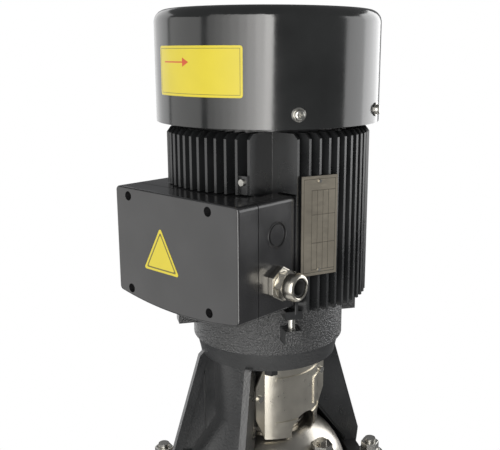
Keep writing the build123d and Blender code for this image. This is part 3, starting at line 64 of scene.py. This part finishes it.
# ---- Studio light ----
# A white cove stands behind the pump and dims around it. A tall soft box to the left of the camera
# fades away from its bright edge, and a white wall behind on the right draws the pump's rim.
world = bpy.data.worlds.new("cove")
scene.world = world
world.use_nodes = True
world_nodes = world.node_tree.nodes
world_nodes.clear()
seen_white = world_nodes.new("ShaderNodeBackground")
seen_white.inputs["Color"].default_value = (1.0, 1.0, 1.0, 1.0)
room = world_nodes.new("ShaderNodeBackground")
room.inputs["Color"].default_value = (0.97, 0.98, 1.0, 1.0)
room.inputs["Strength"].default_value = 0.17
ray_kind = world_nodes.new("ShaderNodeLightPath")
world_mix = world_nodes.new("ShaderNodeMixShader")
world_out = world_nodes.new("ShaderNodeOutputWorld")
world.node_tree.links.new(ray_kind.outputs["Is Camera Ray"], world_mix.inputs["Fac"])
world.node_tree.links.new(room.outputs["Background"], world_mix.inputs[1])
world.node_tree.links.new(seen_white.outputs["Background"], world_mix.inputs[2])
world.node_tree.links.new(world_mix.outputs["Shader"], world_out.inputs["Surface"])


def soft_lamp(name, azimuth, half_angle, low, high, radiance, colour, distance=1.7):
    """Upright rectangular lamp at an azimuth counted from -Y towards +X, facing the pump's axis."""
    width = 2.0 * distance * tan(half_angle)
    tall = high - low
    data = bpy.data.lights.new(name, "AREA")
    data.shape = "RECTANGLE"
    data.size = width
    data.size_y = tall
    data.energy = radiance * pi * width * tall
    data.color = colour
    lamp = bpy.data.objects.new(name, data)
    scene.collection.objects.link(lamp)
    middle = (low + high) / 2.0
    place = Vector((distance * sin(azimuth), -distance * cos(azimuth), middle))
    lamp.location = place
    lamp.rotation_euler = (Vector((0.0, 0.0, middle)) - place).to_track_quat("-Z", "Y").to_euler()


key_edge = radians(47.0)
key_strip = radians(8.0)
key_radiance = 5.6
key_fade = 0.74
for strip in range(8):
    soft_lamp(f"key_{strip}", key_edge - (strip + 0.5) * key_strip, key_strip / 2, -0.25, 1.85,
              key_radiance * key_fade ** strip, (1.0, 0.985, 0.96))
soft_lamp("side_wing", radians(-46.0), radians(22.0), -0.35, 1.3, 0.8, (1.0, 0.99, 0.97))
soft_lamp("far_wing", radians(-96.0), radians(24.0), -0.3, 1.8, 1.1, (1.0, 1.0, 1.0), 1.9)
soft_lamp("side_wall", radians(136.0), radians(14.0), 0.35, 1.5, 1.7, (1.0, 1.0, 1.0), 1.9)
soft_lamp("rim_wall", radians(172.0), radians(22.0), 0.1, 1.8, 2.7, (1.0, 1.0, 1.0), 1.9)

floor_radius = 0.6
floor_bm = bmesh.new()
bmesh.ops.create_circle(floor_bm, cap_ends=True, segments=96, radius=floor_radius)
floor_mesh = bpy.data.meshes.new("floor")
floor_bm.to_mesh(floor_mesh)
floor_bm.free()
floor = bpy.data.objects.new("floor", floor_mesh)
scene.collection.objects.link(floor)
floor_paint = bpy.data.materials.new("floor_paint")
floor_paint.use_nodes = True
floor_paint.node_tree.nodes["Principled BSDF"].inputs["Base Color"].default_value = (0.86, 0.86, 0.85, 1.0)
floor_paint.node_tree.nodes["Principled BSDF"].inputs["Roughness"].default_value = 0.6
floor_mesh.materials.append(floor_paint)


# ---- Base plate ----
# A flat cast-iron plate with four foot holes and four bosses for the staybolts.
# It is sand cast, shot blasted and painted black, so its skin is grainy.
def cast_enamel(name, colour, roughness, grain, depth, gloss, drift_by=0.25, wave=0.0):
    """Enamel over metal: colour and gloss drift slowly, and the casting's grain and waves lift it."""
    material = bpy.data.materials.new(name)
    material.use_nodes = True
    nodes = material.node_tree.nodes
    links = material.node_tree.links
    shader = nodes["Principled BSDF"]
    place = nodes.new("ShaderNodeTexCoord")
    drift = nodes.new("ShaderNodeTexNoise")
    drift.inputs["Scale"].default_value = 22.0
    drift.inputs["Detail"].default_value = 5.0
    links.new(place.outputs["Object"], drift.inputs["Vector"])
    shade = nodes.new("ShaderNodeValToRGB")
    shade.color_ramp.elements[0].position = 0.32
    shade.color_ramp.elements[1].position = 0.68
    shade.color_ramp.elements[0].color = [part * (1.0 - drift_by) for part in colour] + [1.0]
    shade.color_ramp.elements[1].color = [part * (1.0 + drift_by) for part in colour] + [1.0]
    links.new(drift.outputs["Fac"], shade.inputs["Fac"])
    links.new(shade.outputs["Color"], shader.inputs["Base Color"])
    wear = nodes.new("ShaderNodeMapRange")
    wear.inputs["From Min"].default_value = 0.3
    wear.inputs["From Max"].default_value = 0.7
    wear.inputs["To Min"].default_value = roughness * (1.0 - drift_by)
    wear.inputs["To Max"].default_value = roughness * (1.0 + drift_by)
    links.new(drift.outputs["Fac"], wear.inputs["Value"])
    links.new(wear.outputs["Result"], shader.inputs["Roughness"])
    skin = nodes.new("ShaderNodeTexNoise")
    skin.inputs["Scale"].default_value = grain
    skin.inputs["Detail"].default_value = 3.0
    links.new(place.outputs["Object"], skin.inputs["Vector"])
    lift = nodes.new("ShaderNodeBump")
    lift.inputs["Strength"].default_value = 1.0
    lift.inputs["Distance"].default_value = depth
    links.new(skin.outputs["Fac"], lift.inputs["Height"])
    swell = nodes.new("ShaderNodeTexNoise")
    swell.inputs["Scale"].default_value = 11.0
    swell.inputs["Detail"].default_value = 1.0
    links.new(place.outputs["Object"], swell.inputs["Vector"])
    slow = nodes.new("ShaderNodeBump")
    slow.inputs["Strength"].default_value = 1.0
    slow.inputs["Distance"].default_value = wave
    links.new(swell.outputs["Fac"], slow.inputs["Height"])
    links.new(slow.outputs["Normal"], lift.inputs["Normal"])
    links.new(lift.outputs["Normal"], shader.inputs["Normal"])
    shader.inputs["Specular IOR Level"].default_value = gloss
    return material


def coat_node(node, material):
    """Gives a carried-over node one material."""
    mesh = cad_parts[node].data
    mesh.materials.clear()
    mesh.materials.append(material)


def round_node(node, width, segments=2):
    """Rounds a carried-over node's sharp edges in modifiers and leaves its mesh as it is."""
    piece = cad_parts[node]
    piece.modifiers.new("merge", "WELD").merge_threshold = 0.00001
    edges = piece.modifiers.new("edges", "BEVEL")
    edges.width = width
    edges.segments = segments
    edges.limit_method = "ANGLE"
    edges.angle_limit = radians(32.0)
    shade = piece.modifiers.new("shade", "WEIGHTED_NORMAL")
    shade.weight = 100


rough_cast = cast_enamel("rough_cast_enamel", (0.024, 0.025, 0.026), 0.26, 560.0, 0.0018, 1.0)
coat_node("base_plate", rough_cast)
round_node("base_plate", 0.0012)


# ---- Pump foot and port flanges ----
# The foot is a stainless casting with an inlet and an outlet neck. Two loose black flanges sit behind
# the necks' collars, and a hexagon plug on the +X side drains it.
def stainless(name, colour, roughness, stretch, depth):
    """Bare metal with a fine grain, drawn out round the upright axis where it was turned."""
    material = bpy.data.materials.new(name)
    material.use_nodes = True
    nodes = material.node_tree.nodes
    links = material.node_tree.links
    shader = nodes["Principled BSDF"]
    place = nodes.new("ShaderNodeTexCoord")
    drawn = nodes.new("ShaderNodeMapping")
    drawn.inputs["Scale"].default_value = (40.0, 40.0, 40.0 * stretch)
    links.new(place.outputs["Object"], drawn.inputs["Vector"])
    grain = nodes.new("ShaderNodeTexNoise")
    grain.inputs["Scale"].default_value = 3.0
    grain.inputs["Detail"].default_value = 6.0
    links.new(drawn.outputs["Vector"], grain.inputs["Vector"])
    cloud = nodes.new("ShaderNodeTexNoise")
    cloud.inputs["Scale"].default_value = 30.0
    cloud.inputs["Detail"].default_value = 4.0
    links.new(place.outputs["Object"], cloud.inputs["Vector"])
    shade = nodes.new("ShaderNodeValToRGB")
    shade.color_ramp.elements[0].position = 0.3
    shade.color_ramp.elements[1].position = 0.7
    shade.color_ramp.elements[0].color = [part * 0.84 for part in colour] + [1.0]
    shade.color_ramp.elements[1].color = [part * 1.06 for part in colour] + [1.0]
    links.new(cloud.outputs["Fac"], shade.inputs["Fac"])
    links.new(shade.outputs["Color"], shader.inputs["Base Color"])
    wear = nodes.new("ShaderNodeMapRange")
    wear.inputs["To Min"].default_value = roughness * 0.7
    wear.inputs["To Max"].default_value = roughness * 1.35
    links.new(grain.outputs["Fac"], wear.inputs["Value"])
    links.new(wear.outputs["Result"], shader.inputs["Roughness"])
    lift = nodes.new("ShaderNodeBump")
    lift.inputs["Strength"].default_value = 1.0
    lift.inputs["Distance"].default_value = depth
    links.new(grain.outputs["Fac"], lift.inputs["Height"])
    links.new(lift.outputs["Normal"], shader.inputs["Normal"])
    shader.inputs["Metallic"].default_value = 1.0
    return material


cast_stainless = stainless("cast_stainless", (0.50, 0.48, 0.44), 0.36, 1.0, 0.0001)
coat_node("pump_foot", cast_stainless)
coat_node("drain_plug", cast_stainless)
round_node("drain_plug", 0.0005)
for node in ("inlet_flange", "outlet_flange"):
    coat_node(node, rough_cast)
    round_node(node, 0.001)

# ---- Outer sleeve, stages and seals ----
# The sleeve is drawn stainless tube. The chambers and impellers inside are pressed from sheet, the
# neck rings are moulded, and two rubber rings seal the sleeve's ends.
drawn_stainless = stainless("drawn_stainless", (0.60, 0.58, 0.55), 0.24, 14.0, 0.00002)
for node in ("outer_sleeve", "inlet_chamber", "stage_chambers", "top_chamber", "impellers"):
    coat_node(node, drawn_stainless)
black_rubber = cast_enamel("black_rubber", (0.018, 0.018, 0.018), 0.62, 1200.0, 0.00008, 0.4)
grey_moulding = cast_enamel("grey_moulding", (0.32, 0.31, 0.29), 0.5, 1500.0, 0.00005, 0.45)
coat_node("sleeve_seal_rings", black_rubber)
coat_node("neck_rings", grey_moulding)

# ---- Pump head, seal cover and vent ----
# The head is a satin stainless dome. A round cover on its crown holds the shaft seal, and a hexagon
# vent plug with a small bleed screw stands on its +X shoulder.
head_stainless = stainless("head_stainless", (0.60, 0.57, 0.51), 0.3, 1.0, 0.00006)
for node in ("pump_head", "seal_cover"):
    coat_node(node, head_stainless)
round_node("seal_cover", 0.0008)
turned_steel = stainless("turned_steel", (0.60, 0.58, 0.54), 0.24, 3.0, 0.00002)
for node in ("vent_plug", "bleed_screw", "pump_shaft", "shaft_nut"):
    coat_node(node, turned_steel)
for node in ("vent_plug", "bleed_screw"):
    round_node(node, 0.0005)
seal_carbon = cast_enamel("seal_carbon", (0.03, 0.03, 0.032), 0.25, 800.0, 0.00001, 0.5)
for node in ("seal_stationary_ring", "seal_rotating_ring", "shaft_bushes"):
    coat_node(node, seal_carbon)

# ---- Staybolts, washers and nuts ----
# Four long studs clamp the head and the sleeve between the stool and the base. They, their nuts and
# their washers are zinc plated.
zinc = stainless("zinc_plate", (0.62, 0.61, 0.57), 0.27, 1.0, 0.00003)
for node in ("staybolts", "staybolt_washers", "staybolt_nuts", "seal_cover_screws"):
    coat_node(node, zinc)
for node in ("staybolt_washers", "staybolt_nuts"):
    round_node(node, 0.0006)

# ---- Motor stool ----
# One black casting carries the motor on two ribbed legs over the coupling. Its ribs have rough,
# lightly fettled edges that catch the light.
stool_enamel = cast_enamel("stool_enamel", (0.020, 0.021, 0.022), 0.3, 420.0, 0.0004, 0.95)
coat_node("motor_stool", stool_enamel)
round_node("motor_stool", 0.001)

# ---- Coupling and its guards ----
# The split coupling clamps both shafts. Two pressed stainless guards close the stool's windows, each
# held by two screws with plain round heads.
guard_sheet = stainless("guard_sheet", (0.74, 0.70, 0.61), 0.3, 1.0, 0.00006)
for node in ("coupling_guard_right", "coupling_guard_left"):
    coat_node(node, guard_sheet)
coat_node("guard_screws", zinc)
round_node("guard_screws", 0.0005)
coupling_steel = stainless("coupling_steel", (0.42, 0.41, 0.40), 0.4, 1.0, 0.00008)
for node in ("coupling_half_right", "coupling_half_left", "coupling_screws", "coupling_pin", "motor_shaft"):
    coat_node(node, coupling_steel)

# ---- Motor housing ----
# The drive-end shield is a rough black casting. The finned frame and the rear shield are die cast and
# painted satin black, and zinc screws tie the drive-end shield's lugs to the frame's.
coat_node("drive_end_shield", rough_cast)
round_node("drive_end_shield", 0.001)
frame_enamel = cast_enamel("frame_enamel", (0.018, 0.019, 0.020), 0.3, 700.0, 0.00003, 1.0)
for node in ("motor_frame", "rear_shield"):
    coat_node(node, frame_enamel)
round_node("motor_frame", 0.0006)
for node in ("shield_tie_screws", "earth_screw"):
    coat_node(node, zinc)
black_steel = cast_enamel("blackened_steel", (0.02, 0.02, 0.021), 0.35, 900.0, 0.00003, 0.6)
coat_node("flange_screws", black_steel)
for node in ("earth_screw", "flange_screws"):
    round_node(node, 0.0005)

# ---- Motor inside ----
# Laminated steel cores with enamelled copper windings, steel ball bearings in the shields, and a
# moulded fan on the shaft's upper end.
core_steel = stainless("core_steel", (0.30, 0.30, 0.32), 0.45, 30.0, 0.00005)
for node in ("stator_core", "rotor_core"):
    coat_node(node, core_steel)
enamelled_copper = stainless("enamelled_copper", (0.60, 0.28, 0.12), 0.35, 20.0, 0.0001)
coat_node("stator_windings", enamelled_copper)
for node in ("bearing_outer_rings", "bearing_inner_rings", "bearing_balls"):
    coat_node(node, turned_steel)
fan_moulding = cast_enamel("fan_moulding", (0.03, 0.03, 0.031), 0.45, 900.0, 0.00003, 0.5)
coat_node("cooling_fan", fan_moulding)


# ---- Fan cover ----
# A deep-drawn steel cup with a round shoulder and a plain lower edge, painted gloss black. Four rings
# of slots are punched through its top.
def add_piece(name, bm, material, body):
    """Turns a finished bmesh into a piece that rides on a body, smooth except at its sharp edges."""
    bmesh.ops.recalc_face_normals(bm, faces=bm.faces[:])
    for edge in bm.edges:
        if len(edge.link_faces) == 2 and edge.calc_face_angle() > radians(34.0):
            edge.smooth = False
    for face in bm.faces:
        face.smooth = True
    mesh = bpy.data.meshes.new(name)
    bm.to_mesh(mesh)
    bm.free()
    mesh.materials.append(material)
    piece = bpy.data.objects.new(name, mesh)
    scene.collection.objects.link(piece)
    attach(piece, body)
    return piece


cover_low, cover_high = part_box("fan_cover")
cover_radius = cover_high.x
cover_enamel = cast_enamel("cover_enamel", (0.014, 0.015, 0.015), 0.145, 260.0, 0.000012, 1.0)
coat_node("fan_cover", cover_enamel)
round_node("fan_cover", 0.0005)

# ---- Fan cover screws ----
# Four zinc pan-head screws with a cross recess, each on a plain washer, hold the cover on the rear
# shield's lugs.
def turned(bm, profile, place, closed=False, steps=32):
    """Turns a profile of (radius, height) points about Z and sets it at a place."""
    before = set(bm.verts)
    verts = [bm.verts.new((radius, 0.0, height)) for radius, height in profile]
    pairs = list(zip(verts, verts[1:])) + ([(verts[-1], verts[0])] if closed else [])
    edges = [bm.edges.new(pair) for pair in pairs]
    bmesh.ops.spin(bm, geom=verts + edges, cent=(0.0, 0.0, 0.0), axis=(0.0, 0.0, 1.0), angle=2.0 * pi,
                   steps=steps, use_merge=True)
    bmesh.ops.remove_doubles(bm, verts=[vert for vert in bm.verts if vert not in before], dist=1e-6)
    made = [vert for vert in bm.verts if vert not in before]
    bmesh.ops.transform(bm, matrix=place, verts=made)
    return made


def facing(point, direction):
    """Placement at a point with +Z turned to a direction."""
    return Matrix.Translation(point) @ Vector(direction).to_track_quat("Z", "Y").to_matrix().to_4x4()


def washer(bm, place, hole, radius, thickness):
    """Plain washer with a broken upper edge."""
    turned(bm, [(hole, 0.0), (radius, 0.0), (radius, 0.65 * thickness),
                (radius - 0.35 * thickness, thickness), (hole, thickness)], place, closed=True)


def pan_head(bm, place, radius, height):
    """Pan head with a cross recess."""
    made = turned(bm, [(0.0, 0.0), (radius, 0.0), (radius, 0.42 * height), (0.94 * radius, 0.68 * height),
                       (0.79 * radius, 0.89 * height), (0.56 * radius, height)], Matrix.Identity(4), steps=24)
    rim = [edge for edge in bm.edges if edge.is_boundary and edge.verts[0] in made]
    arm = 0.12 * radius
    reach = 0.44 * radius
    corners = ((reach, -arm), (reach, arm), (arm, arm), (arm, reach), (-arm, reach), (-arm, arm),
               (-reach, arm), (-reach, -arm), (-arm, -arm), (-arm, -reach), (arm, -reach), (arm, -arm))
    cross = [bm.verts.new((x, y, height)) for x, y in corners]
    sides = [bm.edges.new((cross[k - 1], cross[k])) for k in range(len(cross))]
    bmesh.ops.bridge_loops(bm, edges=rim + sides)
    sunk = bmesh.ops.extrude_edge_only(bm, edges=sides)["geom"]
    floor_verts = [item for item in sunk if isinstance(item, bmesh.types.BMVert)]
    for vert in floor_verts:
        vert.co = Vector((0.75 * vert.co.x, 0.75 * vert.co.y, 0.4 * height))
    bmesh.ops.edgeloop_fill(bm, edges=[item for item in sunk if isinstance(item, bmesh.types.BMEdge)
                                       and item.verts[0] in floor_verts and item.verts[1] in floor_verts])
    bmesh.ops.transform(bm, matrix=place, verts=made + cross + floor_verts)


fan_screw_height = cover_low.z + 0.013
fan_screw_seat = cover_radius + 0.0002
washer_sheet = 0.0012
fan_screw_azimuths = (56.0, 109.0, 236.0, 289.0)
fan_screw_bm = bmesh.new()
for azimuth in fan_screw_azimuths:
    outward = Vector((sin(radians(azimuth)), -cos(radians(azimuth)), 0.0))
    seat = outward * fan_screw_seat + Vector((0.0, 0.0, fan_screw_height))
    washer(fan_screw_bm, facing(seat, outward), 0.0035, 0.0065, washer_sheet)
    pan_head(fan_screw_bm, facing(seat + outward * washer_sheet, outward), 0.0049, 0.0036)
    turned(fan_screw_bm, [(0.0, 0.0), (0.0024, 0.0), (0.0024, 0.0135), (0.0, 0.0135)],
           facing(seat - outward * 0.012, outward))
fan_screws = add_piece("fan_cover_screw_set", fan_screw_bm, zinc, "pump")
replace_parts(fan_screws, "fan_cover_screws")


# ---- Rotation label ----
# A yellow vinyl label with a thin dark frame sticks to the cover. It is bare except for an arrow that
# shows the shaft's direction.
def vinyl(name, colour):
    """Printed vinyl with a slight sheen and faint wear."""
    return cast_enamel(name, colour, 0.32, 900.0, 0.000004, 0.5, drift_by=0.04)


def wrapped_patch(name, outline, radius, thickness, material):
    """Thin patch bent round the Z axis from an outline of (azimuth, height) points."""
    bm = bmesh.new()
    corners = [bm.verts.new((azimuth, 0.0, height)) for azimuth, height in outline]
    bm.faces.new(corners)
    low = min(azimuth for azimuth, height in outline)
    high = max(azimuth for azimuth, height in outline)
    cuts = max(2, int((high - low) / radians(2.5)))
    for step in range(1, cuts):
        cut = low + (high - low) * step / cuts
        bmesh.ops.bisect_plane(bm, geom=bm.verts[:] + bm.edges[:] + bm.faces[:], dist=1e-7,
                               plane_co=(cut, 0.0, 0.0), plane_no=(1.0, 0.0, 0.0))
    made = bmesh.ops.extrude_face_region(bm, geom=bm.faces[:])
    for vert in made["geom"]:
        if isinstance(vert, bmesh.types.BMVert):
            vert.co.y = thickness
    for vert in bm.verts:
        reach = radius + vert.co.y
        vert.co = Vector((reach * sin(vert.co.x), -reach * cos(vert.co.x), vert.co.z))
    return add_piece(name, bm, material, "pump")


def rounded_label(low_azimuth, high_azimuth, low, high, corner, radius):
    """Outline of a label with round corners, in azimuth and height."""
    points = []
    turn = corner / radius
    for centre_azimuth, centre, start in (
            (high_azimuth - turn, high - corner, 0.0), (low_azimuth + turn, high - corner, 90.0),
            (low_azimuth + turn, low + corner, 180.0), (high_azimuth - turn, low + corner, 270.0)):
        for step in range(5):
            angle = radians(start + 22.5 * step)
            points.append((centre_azimuth + turn * cos(angle), centre + corner * sin(angle)))
    return points


label_yellow = vinyl("label_yellow", (0.72, 0.60, 0.045))
label_ink = vinyl("label_ink", (0.12, 0.11, 0.04))
arrow_red = vinyl("arrow_red", (0.62, 0.10, 0.03))
label_left = radians(-21.4)
label_right = radians(30.9)
label_bottom = cover_low.z + 0.0275
label_top = cover_low.z + 0.0725
label_skin = 0.00012
frame_inset = 0.0022
frame_line = 0.0004
label_corner = 0.0025
glue = 0.00003
label_radius = cover_radius + glue
label_outline = rounded_label(label_left, label_right, label_bottom, label_top, label_corner, cover_radius)
wrapped_patch("rotation_label", label_outline, label_radius, label_skin, label_yellow)
ink_radius = label_radius + label_skin
inset_turn = frame_inset / cover_radius
line_turn = frame_line / cover_radius
for name, west, east, south, north in (
        ("label_frame_top", label_left + inset_turn, label_right - inset_turn,
         label_top - frame_inset - frame_line, label_top - frame_inset),
        ("label_frame_bottom", label_left + inset_turn, label_right - inset_turn,
         label_bottom + frame_inset, label_bottom + frame_inset + frame_line),
        ("label_frame_left", label_left + inset_turn, label_left + inset_turn + line_turn,
         label_bottom + frame_inset, label_top - frame_inset),
        ("label_frame_right", label_right - inset_turn - line_turn, label_right - inset_turn,
         label_bottom + frame_inset, label_top - frame_inset)):
    wrapped_patch(name, [(west, south), (east, south), (east, north), (west, north)],
                  ink_radius, label_skin / 3, label_ink)
arrow_tail = label_left + 0.0105 / cover_radius
arrow_neck = arrow_tail + 0.029 / cover_radius
arrow_tip = arrow_neck + 0.008 / cover_radius
arrow_height = label_top - 0.0145
arrow_half = 0.0006
arrow_wing = 0.0042
wrapped_patch("rotation_arrow", [
    (arrow_tail, arrow_height - arrow_half), (arrow_neck, arrow_height - arrow_half),
    (arrow_neck, arrow_height - arrow_wing), (arrow_tip, arrow_height),
    (arrow_neck, arrow_height + arrow_wing), (arrow_neck, arrow_height + arrow_half),
    (arrow_tail, arrow_height + arrow_half)], ink_radius, label_skin / 3, arrow_red)

# ---- Terminal box ----
# A die-cast box and cover, painted gloss black, with a rubber gasket between them. The cover's four
# screws sit in deep wells.
box_enamel = cast_enamel("box_enamel", (0.019, 0.019, 0.020), 0.2, 420.0, 0.00002, 1.0, drift_by=0.35,
                         wave=0.003)
for node in ("terminal_box_base", "terminal_box_cover"):
    coat_node(node, box_enamel)
round_node("terminal_box_base", 0.0009)
coat_node("terminal_box_gasket", black_rubber)
coat_node("terminal_cover_screws", zinc)
coat_node("terminal_block", grey_moulding)
brass = stainless("brass", (0.62, 0.47, 0.20), 0.3, 1.0, 0.00003)
coat_node("terminal_studs", brass)

# ---- Triangle plate on the terminal box ----
# A thin yellow triangle with a darker border and round corners, stuck on the cover and left bare.
box_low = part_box("terminal_box_cover")[0]
box_face = box_low.y


def flat_plate(name, centre_x, centre_z, circle, corner, skin, standoff, material):
    """Round-cornered triangle that stands upright on the cover's face."""
    bm = bmesh.new()
    outline = []
    back = box_face - standoff
    hub = circle - 2.0 * corner
    for side in range(3):
        heading = radians(90.0 + 120.0 * side)
        hub_x = centre_x + hub * cos(heading)
        hub_z = centre_z + hub * sin(heading)
        for step in range(7):
            angle = heading + radians(-60.0 + 20.0 * step)
            outline.append(bm.verts.new((hub_x + corner * cos(angle), back, hub_z + corner * sin(angle))))
    bm.faces.new(outline)
    made = bmesh.ops.extrude_face_region(bm, geom=bm.faces[:])
    for vert in made["geom"]:
        if isinstance(vert, bmesh.types.BMVert):
            vert.co.y -= skin
    return add_piece(name, bm, material, "pump")


triangle_x = -0.0182
triangle_z = box_low.z + 0.0525
triangle_circle = 0.0293
plate_skin = 0.00015
plate_glue = 0.00002
border_olive = vinyl("border_olive", (0.16, 0.14, 0.035))
flat_plate("triangle_plate", triangle_x, triangle_z, triangle_circle, 0.0018, plate_skin,
           plate_glue, label_yellow)
flat_plate("triangle_border", triangle_x, triangle_z, triangle_circle - 0.0044, 0.0012, plate_skin / 3,
           plate_skin + plate_glue, border_olive)
flat_plate("triangle_field", triangle_x, triangle_z, triangle_circle - 0.0072, 0.001, plate_skin / 3,
           plate_skin * 4 / 3 + plate_glue, label_yellow)

# ---- Knock-out in the box's side ----
# The spare cable hole is closed by a thin cast disc. A raised lip runs round it and a soft black seal
# lies in its groove.
base_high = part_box("terminal_box_base")[1]
knockout_back = 0.081
knockout_drop = 0.0325
knockout_steps = 48
knockout_place = facing((base_high.x, -knockout_back, base_high.z - knockout_drop), (1.0, 0.0, 0.0))
lip_bm = bmesh.new()
turned(lip_bm, [(0.0116, -0.0003), (0.0129, -0.0003), (0.0129, 0.0004), (0.0126, 0.0007), (0.0120, 0.0007),
                (0.0116, 0.0003)], knockout_place, closed=True, steps=knockout_steps)
add_piece("knockout_lip", lip_bm, box_enamel, "pump")
seal_bm = bmesh.new()
turned(seal_bm, [(0.0096, -0.0011), (0.0114, -0.0011), (0.0114, -0.0006), (0.0096, -0.0006)],
       knockout_place, closed=True, steps=knockout_steps)
add_piece("knockout_seal", seal_bm, black_rubber, "pump")

# ---- Cable gland ----
# Nickel-plated brass: a hexagon body in the box's side and a stepped dome nut with a hexagon foot. A
# rubber ring in its mouth is open, because no cable is fitted.
nickel = stainless("nickel_plate", (0.66, 0.63, 0.56), 0.24, 1.0, 0.00006)
for node in ("cable_gland_body", "gland_lock_nut"):
    coat_node(node, nickel)
round_node("cable_gland_body", 0.0009, 3)
nut_low, nut_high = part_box("gland_dome_nut")
nut_length = nut_high.x - nut_low.x
nut_y = (nut_low.y + nut_high.y) / 2.0
nut_z = (nut_low.z + nut_high.z) / 2.0
nut_place = facing((nut_low.x, nut_y, nut_z), (1.0, 0.0, 0.0))
nut_bm = bmesh.new()
nut_radius = (nut_high.y - nut_low.y) / 2.0
foot_length = 0.42 * nut_length
foot_chamfer = 0.0008
crown_gap = 0.00002
crown_radius = 0.0133
mouth = 0.0088
turned(nut_bm, [(mouth, 0.0), (nut_radius * 0.93, 0.0), (nut_radius, foot_chamfer),
                (nut_radius, foot_length - foot_chamfer), (nut_radius * 0.93, foot_length),
                (mouth, foot_length)], nut_place, closed=True, steps=6)
turned(nut_bm, [(mouth, foot_length + crown_gap), (0.0128, foot_length + crown_gap),
                (crown_radius, foot_length + foot_chamfer), (crown_radius, nut_length - 0.0048),
                (0.0129, nut_length - 0.0028), (0.0121, nut_length - 0.0012),
                (0.0110, nut_length - 0.0003), (0.0100, nut_length), (0.0092, nut_length - 0.0006),
                (mouth, nut_length - 0.0018)], nut_place, closed=True, steps=40)
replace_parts(add_piece("gland_dome", nut_bm, nickel, "pump"), "gland_dome_nut")
insert_bm = bmesh.new()
turned(insert_bm, [(0.0066, 0.0), (mouth - 0.0001, 0.0), (mouth - 0.0001, nut_length - 0.0020),
                   (0.0078, nut_length - 0.0014), (0.0069, nut_length - 0.0018),
                   (0.0066, nut_length - 0.0026)],
       nut_place, closed=True)
add_piece("gland_insert", insert_bm, black_rubber, "pump")

# ---- Nameplate ----
# Thin anodised aluminium, ruled with fine lines and otherwise bare, held by two rivets.
plate_metal = stainless("nameplate_metal", (0.66, 0.60, 0.49), 0.4, 6.0, 0.000004)
coat_node("nameplate", plate_metal)
coat_node("nameplate_rivets", zinc)
round_node("nameplate_rivets", 0.0003)
plate_low, plate_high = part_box("nameplate")
plate_turn = radians(70.0)
plate_face = 0.103
rule_ink = vinyl("rule_ink", (0.10, 0.088, 0.068))
rule_bm = bmesh.new()
rule_width = 0.0005
rule_skin = 0.00004
plate_middle = (plate_low.z + plate_high.z) / 2.0
for across, along, wide, tall in (
        (-0.0170, 0.0, rule_width, 0.0890), (0.0170, 0.0, rule_width, 0.0890),
        (0.0, 0.0445, 0.0345, rule_width), (0.0, -0.0445, 0.0345, rule_width),
        (-0.0085, -0.0040, rule_width, 0.0760), (-0.0025, -0.0040, rule_width, 0.0760),
        (0.0035, -0.0040, rule_width, 0.0760), (0.0095, -0.0040, rule_width, 0.0760),
        (0.0040, 0.0340, 0.0255, rule_width), (0.0040, 0.0110, 0.0255, rule_width),
        (0.0040, -0.0160, 0.0255, rule_width), (0.0040, -0.0420, 0.0255, rule_width)):
    rule = bmesh.ops.create_cube(rule_bm, size=1.0)["verts"]
    bmesh.ops.scale(rule_bm, vec=(wide, rule_skin, tall), verts=rule)
    bmesh.ops.translate(rule_bm, vec=(across, -plate_face - rule_skin, plate_middle + along), verts=rule)
bmesh.ops.rotate(rule_bm, cent=(0.0, 0.0, 0.0), matrix=Matrix.Rotation(plate_turn, 3, "Z"),
                 verts=rule_bm.verts[:])
add_piece("nameplate_rules", rule_bm, rule_ink, "pump")
